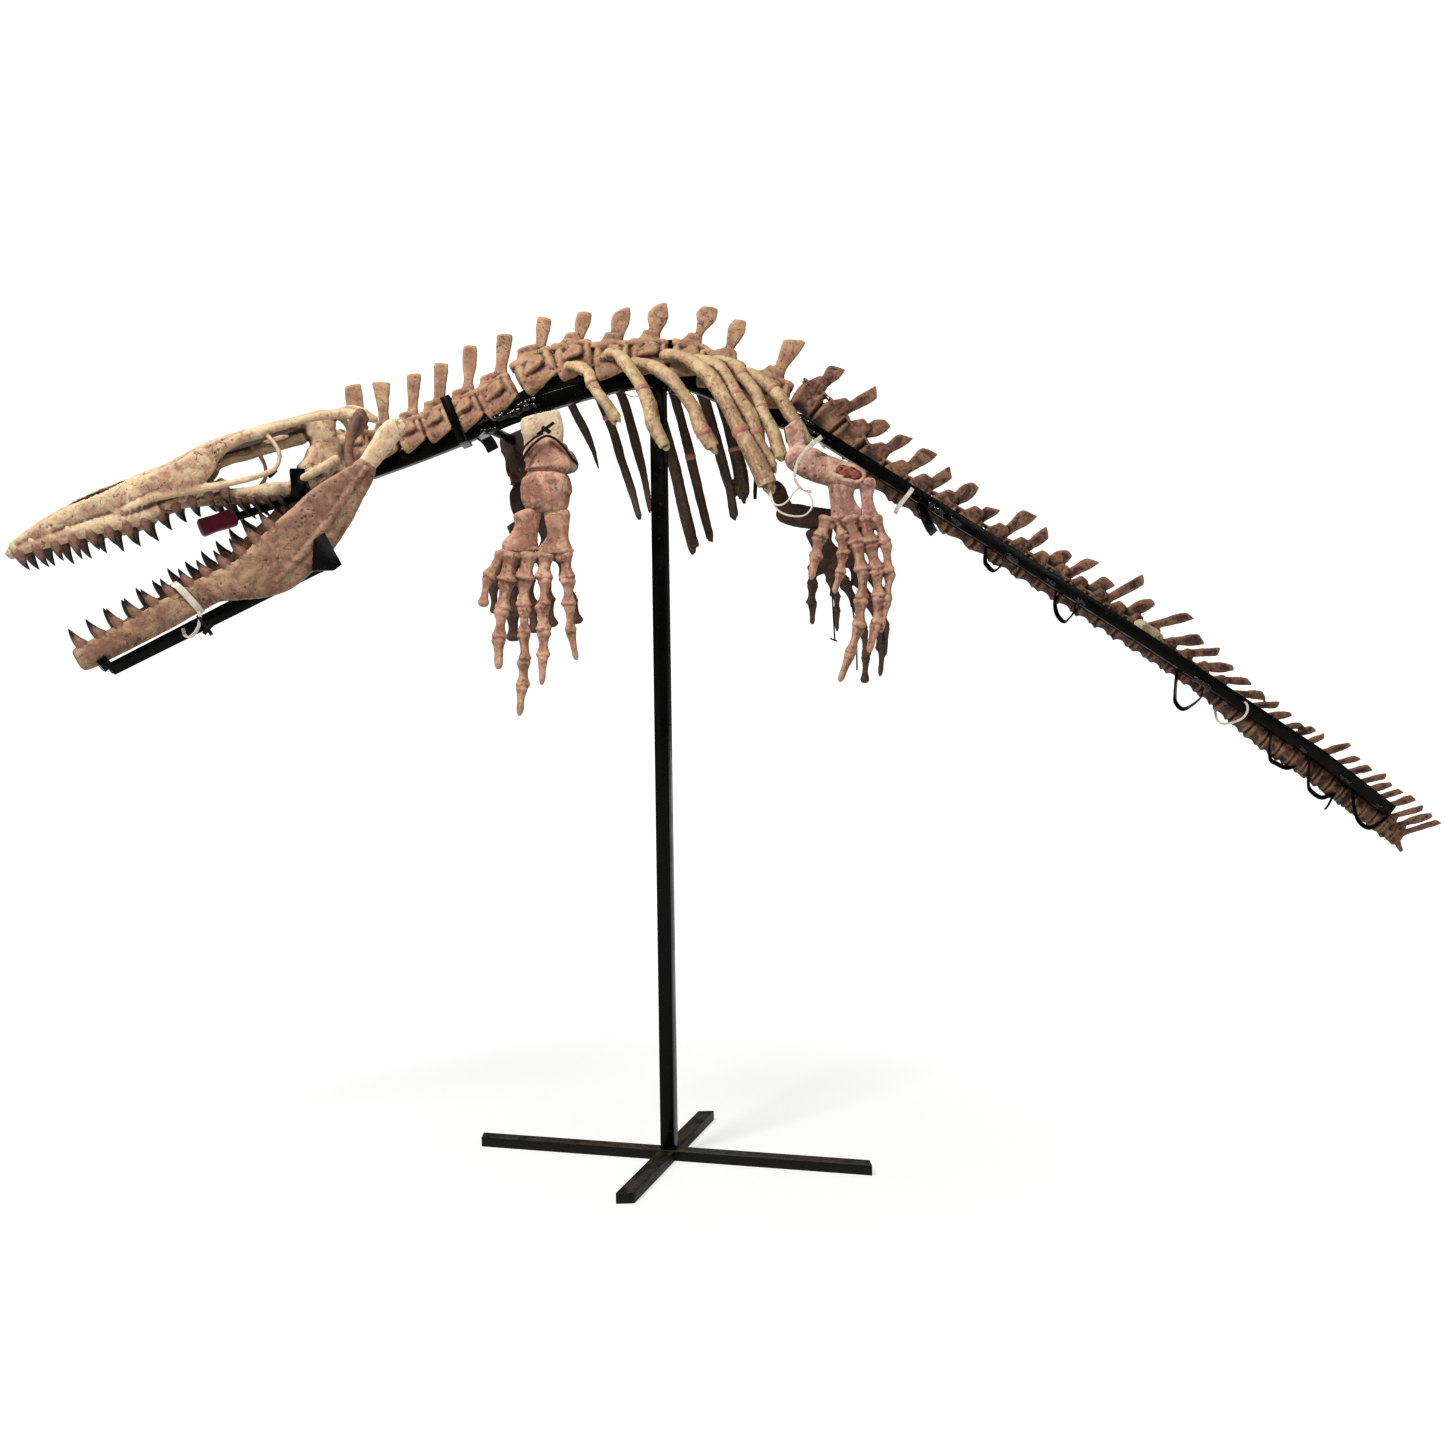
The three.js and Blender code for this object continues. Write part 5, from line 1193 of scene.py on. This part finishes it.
REAR_DIGITS = [
    ([(446, 1752), (432, 1700), (416, 1640), (406, 1592)], 3, 18),
    ([(474, 1752), (490, 1690), (486, 1630), (468, 1554)], 4, 15),
    ([(506, 1752), (530, 1670), (544, 1560), (516, 1412), (478, 1322)], 6, 18),
    ([(550, 1752), (566, 1670), (586, 1560), (576, 1460), (558, 1398)], 5, 18),
    ([(580, 1752), (604, 1680), (611, 1600), (604, 1520), (590, 1452)], 4, 15),
]
REAR_ANKLE = [(454, 1738, 24), (500, 1738, 26), (548, 1738, 26), (576, 1736, 18)]
rose_bone = fossil("pale rose fossil bone", "#d0ab97", "#8f6757", "#8e544a", "#331812")
REAR_HANG = {"left": (0, 0, 0, 6), "right": (14, -54, -112, 5)}


def flakes(marks, face, deep):
    """Cutters that sink hollows into a bone's left face, marks of x, z, half wide and half high."""
    cutters = []
    for number, (x, z, wide, high) in enumerate(marks):
        floor = deep * (1, 0.7, 0.85)[number % 3]
        stations = ((floor, 0.55), (floor * 0.85, 0.8), (floor * 0.35, 0.95), (-3, 1.05), (-24, 1.3))
        slices = [(x + 2 * k, face + y, z - k, high * share, wide * share)
                  for k, (y, share) in enumerate(stations)]
        flake = loft(slices, side=(0, 0, 1), points=14, cap=0.1)
        cutters.append(new_object("flake", mesh_of("flake", [flake])))
    return cutters


for label, side in (("left", -1), ("right", 1)):
    swing, x, z, kept = REAR_HANG[label]
    place = hanging(HIP, swing, x, z)
    upper = place if side < 0 else hanging(HIP, swing, x + 36, z + 16)
    chance = np.random.RandomState(60 + side)
    y = side * REAR_Y
    made = flipper_shells(y, LEG)
    girth = 1.0 if side < 0 else 0.8
    made["femur"] = [loft([(fx, y, fz, deep * girth, high * girth) for fx, fz, deep, high in FEMUR],
                          square=2.4, points=26, cap=0.4)]
    made["foot"] = wrist_shells(y, REAR_ANKLE)
    made = {bone: [moved(shell, upper if bone in ("ilium", "femur") else place) for shell in shells]
            for bone, shells in made.items()}
    slim = 0.8 if side > 0 else 1
    toes = [(path, joints, half * slim) for path, joints, half in REAR_DIGITS]
    made["foot"] += digit_shells(y, toes, kept, chance, place)
    for number, (bone, shells) in enumerate(made.items()):
        finish = far_shade_bone if side > 0 else pink_bone if bone == "foot" else rose_bone
        slot = "dark_bone" if side > 0 else "pale_bone"
        scars = flakes(THIGH_SCARS if bone == "femur" and side < 0 else [], THIGH_FACE, 9)
        carved(f"rear_{label}_{bone}_bone", shells, finish, slot, f"rear_{label}_{bone}", voxel=2.6,
               soften=3, lump=6.0, grain=3.0, pit=1.4, seed=60.0 + number + side, cutters=scars)


# ---- collar, girdle bars, skull bar, clamp, jaw cradle and jaw rods: flat and square bar ----
# Cut, bent and welded to suit the bones that they carry, in the same black enamel as the beam.

for node in ("stand_collar", "stand_shoulder_bar_left", "stand_shoulder_bar_right", "stand_hip_bar_left",
             "stand_hip_bar_right", "stand_skull_bar", "stand_skull_clamp", "stand_jaw_cradle",
             "stand_jaw_rod_left", "stand_jaw_rod_right"):
    fit(eased(node.replace("stand_", ""), node, 1.4), black_enamel, "black_steel", node)


# ---- skull pad: a square of foam under dark red cloth, bound round the end of the skull bar ----
# The cloth is coarse plain weave, a little creased, faded along its folds.

pad_cloth, tree = new_material("dark red woven cotton")
where = add(tree, "ShaderNodeTexCoord").outputs["Object"]
fade = add(tree, "ShaderNodeTexNoise", {"Vector": where, "Scale": 1 / 0.02, "Detail": 4.0}).outputs["Fac"]
THREAD = 0.0022  # metres between threads, drawn twice as coarse as real so that it shows
weave_a = add(tree, "ShaderNodeTexWave", {"Vector": where, "Scale": 0.314 / THREAD},
              bands_direction="X").outputs["Fac"]
weave_b = add(tree, "ShaderNodeTexWave", {"Vector": where, "Scale": 0.314 / THREAD},
              bands_direction="Z").outputs["Fac"]
weave = add(tree, "ShaderNodeMath", {0: weave_a, 1: weave_b}, operation="MULTIPLY").outputs[0]
colour = add(tree, "ShaderNodeMix", {0: fade, 6: rgb("#3d0616"), 7: rgb("#7c1230")},
             data_type="RGBA").outputs[2]
relief = add(tree, "ShaderNodeBump", {"Height": weave, "Strength": 0.5, "Distance": 0.6 * MM}).outputs[0]
shader = add(tree, "ShaderNodeBsdfPrincipled", {"Base Color": colour, "Roughness": 0.92, "Normal": relief,
                                               "Sheen Weight": 0.3})
add(tree, "ShaderNodeOutputMaterial", {"Surface": shader.outputs[0]})
pad = loft([(378, 0, -82, 22, 20), (384, 0, -82, 25, 23), (426, 0, -82, 24, 22), (466, 0, -82, 25, 23),
            (472, 0, -82, 22, 20)], square=5, points=36, steps=6, cap=0.15)
carved("skull_pad", [moved(pad, SKULL)], pad_cloth, "pad_cloth", "stand_skull_pad",
       voxel=2.0, soften=6, lump=5.0, grain=1.6, pit=0.0, seed=70.0)


# ---- welds: beads of weld metal where bars meet, ground little and painted over ----
# Short lumpy runs along the beam at the girdle bars, by the post and along the tail tube.

WELD_POINTS = 14
WELDS = [  # ends of each run, and half its thickness
    [(-500, -17, 2044), (-444, -17, 2070), 8], [(-486, -17, 2022), (-448, -17, 2030), 7],
    [(-398, -17, 2088), (-334, -17, 2112), 7], [(-360, -18, 2064), (-322, -17, 2076), 6],
    [(378, -58, 2044), (424, -62, 2018), 8], [(400, -66, 2012), (470, -63, 1975), 6],
    [(32, -20, 2136), (64, -20, 2134), 6], [(20, 0, 2134), (22, 12, 2135), 6],
    [(740, -64, 1799), (775, -64, 1772), 10], [(800, -63, 1758), (821, -63, 1742), 7],
    [(943, -62, 1663), (979, -62, 1640), 8], [(1055, -60, 1590), (1079, -60, 1576), 6],
    [(1133, -60, 1538), (1157, -59, 1522), 8], [(1456, -56, 1318), (1500, -55, 1288), 9],
    [(1743, -52, 1124), (1765, -52, 1108), 6], [(1857, -50, 1042), (1885, -50, 1020), 7],
    [(1947, -48, 968), (1969, -48, 950), 7], [(-448, -30, 2054), (-390, -32, 2072), 12],
    [(-396, -30, 2070), (-338, -28, 2092), 10],
]
# Enamel pooled thick over the beads: wet looking, with sharp highlights.
pooled_enamel, tree = new_material("pooled black gloss enamel")
shader = add(tree, "ShaderNodeBsdfPrincipled", {"Base Color": rgb("#060606"), "Roughness": 0.13})
add(tree, "ShaderNodeOutputMaterial", {"Surface": shader.outputs[0]})

shells = []
chance = np.random.RandomState(80)
for start, stop, thick in WELDS:
    share = np.linspace(0, 1, WELD_POINTS)[:, None]
    path = np.array(start) + (np.array(stop) - start) * share + chance.uniform(-2.5, 2.5, (WELD_POINTS, 3))
    shells.append(bar_along(path, thick * chance.uniform(0.7, 1.25, WELD_POINTS), pooled_enamel, sides=10))
carved("weld_beads", shells, pooled_enamel, "black_steel", "stand_beam",
       voxel=2.0, soften=2, lump=5.0, grain=4.0, pit=0.0, seed=80.0)


# ---- straps: bent black strips under the tail, and the lashings that hold the bones ----
# Flat strip hangs in loops from the tail tube. White and black nylon ties go round the jaw, the
# shoulder, the thigh and the tube; thin black wires run down behind the toes of the left foot.

def strap(path, side, wide, thick):
    """A flat strip along points in mm, wide measured along side."""
    return loft([(*p, wide / 2, thick / 2) for p in path], side=side, square=7, points=16, steps=6, cap=0.1)


TUBE_TOUCH = 0.866  # share of a tail body's radius at which the tube touches it
HANGERS = [  # x and z of four points of each loop, between its ends under the tube; the last is outside
    [(898, 1650), (904, 1634), (922, 1620), (946, 1638)],
    [(1090, 1524), (1098, 1492), (1118, 1477), (1144, 1504)],
    [(1420, 1276), (1422, 1246), (1446, 1230), (1492, 1262)],
    [(1680, 1094), (1700, 1074), (1734, 1063), (1778, 1090)],
    [(1786, 1018), (1798, 993), (1828, 979), (1880, 1004)],
    [(1894, 946), (1908, 912), (1938, 898), (1984, 928)],
]
shells = []
for loop in HANGERS:
    depth, out = (-52, 17) if loop == HANGERS[-1] else (-8, 4)
    ends = [(x, -TUBE_TOUCH * tail_radius(x) - out, np.interp(x, *zip(*TUBE_LINE)) - 10)
            for x, _ in (loop[0], loop[-1])]
    path = [ends[0], *[(x, depth, z) for x, z in loop], ends[1]]
    shells.append(strap(path, (0.75, 1, 0.5), 20, 4.5))
shells.append(strap([(1864, -8, 1000), (1846, -24, 982), (1828, -42, 963), (1814, -50, 949)],
                    (0, 1, 0), 7, 4))
shells.append(moved(strap([(193, 80, -24), (205, 86, -58), (218, 80, -92)], (1, 0, 0.4), 38, 24), SKULL))
shells.append(moved(strap([(250, 104, -10), (262, 106, -16), (274, 104, -20)], (0, 0, 1), 12, 16), SKULL))
shells.append(strap([(714, -44, 1800), (724, -62, 1768), (738, -58, 1738), (752, -30, 1726)],
                    (0.8, 0.3, 0.4), 26, 12))
shells.append(strap([(-488, -19, 2012), (-470, -26, 1996), (-456, -20, 1970)], (0.8, 0, 0.3), 34, 12))
hangers = new_object("tail_hangers", mesh_of("hangers", shells))
hangers.data.shade_smooth()
hangers.data.set_sharp_from_angle(angle=math.radians(45))
fit(hangers, black_enamel, "black_steel", "stand_tail_tube")


# Nylon: waxy and faintly translucent, so a soft wide shine and a little yellowing.
def nylon(name, patch, fresh, aged, low, high, shine):
    """Moulded nylon with patches of age, its roughness from low to high."""
    material, tree = new_material(name)
    where = add(tree, "ShaderNodeTexCoord").outputs["Object"]
    age = add(tree, "ShaderNodeTexNoise", {"Vector": where, "Scale": 1 / patch, "Detail": 3.0}).outputs["Fac"]
    colour = add(tree, "ShaderNodeMix", {0: age, 6: rgb(fresh), 7: rgb(aged)}, data_type="RGBA").outputs[2]
    rough = add(tree, "ShaderNodeMapRange", {"Value": age, "To Min": low, "To Max": high}).outputs[0]
    shader = add(tree, "ShaderNodeBsdfPrincipled", {"Base Color": colour, "Roughness": rough,
                                                   "Specular IOR Level": shine})
    add(tree, "ShaderNodeOutputMaterial", {"Surface": shader.outputs[0]})
    return material


white_nylon = nylon("yellowed white nylon", 0.02, "#d3cec0", "#a59c86", 0.3, 0.5, 0.5)
black_nylon = nylon("weathered black nylon", 0.012, "#080707", "#171412", 0.35, 0.6, 0.2)

shells = [
    moved(strap([(632, 56, -22), (630, 84, -20), (627, 97, -40), (625, 99, -70), (624, 97, -100),
                 (622, 84, -122)],
                (1, 0, 0.08), 18, 2.4), JAW[1]),
    moved(strap([(626, 90, -108), (634, 92, -126), (650, 90, -142), (668, 84, -151), (684, 74, -152),
                 (690, 62, -142), (682, 56, -124)], (0.6, 0, 0.6), 9, 4), JAW[1]),
    strap([(697, -52, 1853), (690, -66, 1838), (668, -70, 1810), (650, -66, 1788), (646, -50, 1776)],
          (0.62, 0, -0.6), 12, 2.4),
    strap([(1590, -42, 1252), (1598, -62, 1240), (1597, -66, 1220), (1586, -58, 1202), (1566, -34, 1190),
           (1548, -6, 1188), (1542, 18, 1204), (1542, 26, 1234)], (0.1, 1, 0.1), 6, 6),
    strap([(446, -172, 1934), (424, -204, 1948), (398, -214, 1928), (372, -214, 1893), (364, -210, 1850),
           (384, -200, 1822), (408, -186, 1818)], (0.87, 0.2, -0.5), 8, 2.6),
    strap([(396, -212, 1926), (418, -214, 1944), (436, -210, 1958)], (0.7, 0.3, -0.6), 12, 3),
    strap([(378, -198, 1828), (360, -200, 1814), (348, -204, 1795), (330, -206, 1782), (312, -198, 1784),
           (304, -190, 1802), (300, -184, 1826)],
          (0.3, 1, 0), 6, 4),
    strap([(296, -182, 1828), (304, -190, 1794), (322, -200, 1766), (350, -206, 1753), (384, -206, 1752),
           (406, -204, 1770), (408, -198, 1794), (398, -190, 1818)], (0.3, 1, 0.3), 6, 4.5),
]
ties = new_object("white_ties", mesh_of("white ties", shells))
ties.data.shade_smooth()
fit(ties, white_nylon, "nylon_tie")

shells = [
    strap([(-356, -206, 1882), (-352, -226, 1892), (-336, -234, 1922), (-312, -236, 1948),
           (-286, -238, 1964), (-262, -238, 1958), (-238, -234, 1936), (-218, -226, 1908),
           (-206, -200, 1896)], (0.2, 1, 0.2), 6, 6),
    strap([(-306, -240, 1968), (-284, -244, 1982), (-262, -242, 1998)], (0.6, 0.4, -0.6), 8, 4),
    strap([(-292, -243, 1986), (-272, -246, 1972)], (0.6, 0.4, 0.6), 10, 7),
    strap([(-352, -206, 1928), (-340, -228, 1940), (-318, -234, 1958), (-290, -240, 1972)],
          (0.2, 1, 0.2), 5, 5),
    moved(strap([(636, 88, -120), (638, 94, -146), (640, 92, -180)], (1, 0, 0), 9, 9), JAW[1]),
    moved(strap([(626, 94, -160), (654, 94, -166)], (0, 0, 1), 11, 11), JAW[1]),
]
TOE_WIRES = [
    [(462, -148, 1560), (465, -150, 1490), (468, -150, 1424)],
    [(512, -150, 1540), (519, -152, 1490), (526, -150, 1428), (526, -148, 1346)],
    [(456, -146, 1432), (474, -150, 1424)],
]
WIRE_RADIUS = 2.2
for wire in TOE_WIRES:
    shells.append(bar_along(wire, [WIRE_RADIUS] * len(wire), black_nylon, sides=8))
ties = new_object("black_ties", mesh_of("black ties", shells))
ties.data.shade_smooth()
fit(ties, black_nylon, "nylon_tie")


# ---- breaks and filler: a raw break on the thigh, cream filler at a tail joint, line on the ribs ----
# The thigh has lost its skin of bone near the knee and shows dark red stone. The tail is made up
# with cream plaster where two lengths meet. Thin nylon line steadies the far ribs.

raw_break = fossil("raw dark red break", "#a2604f", "#7a4238", "#8c443d", "#3a1712", 0.03)
shells = [loft([(x, THIGH_FACE + 20, z, high, wide), (x, THIGH_FACE + 7, z, high * 0.8, wide * 0.8)],
               side=(0, 0, 1), points=14, cap=0.5) for x, z, wide, high in THIGH_SCARS]
carved("thigh_break", shells, raw_break, "dark_bone", "rear_left_femur",
       voxel=1.6, soften=1, lump=12.0, grain=8.0, pit=3.0, seed=90.0)

filler = loft([(1304, -2, 1452, 13, 14), (1322, -6, 1456, 22, 24), (1344, -4, 1448, 19, 17),
               (1360, -3, 1436, 20, 21), (1384, -2, 1424, 12, 10)], square=2.8, points=20, cap=0.5)
carved("tail_filler", [filler], cream_bone, "pale_bone", "tail_2", "tail_3",
       voxel=2.2, soften=2, lump=14.0, grain=6.0, pit=2.5, seed=91.0)

LINE_SAG, LINE_RADIUS = 20, 1.2
shells = []
for pair in zip(RIGHT_RIBS[:-2], RIGHT_RIBS[1:]):
    ends = [rib_point(1, rib, share) - (0, rib[5] / 2 + 2, 0) for rib, share in zip(pair, (0.36, 0.33))]
    low = (ends[0] + ends[1]) / 2 - (0, 0, LINE_SAG)
    path = smooth_rows([ends[0], low, ends[1]], 6)
    shells.append(bar_along(path, [LINE_RADIUS] * len(path), white_nylon, sides=6))
lines = new_object("rib_lines", mesh_of("lines", shells))
fit(lines, white_nylon, "nylon_tie")
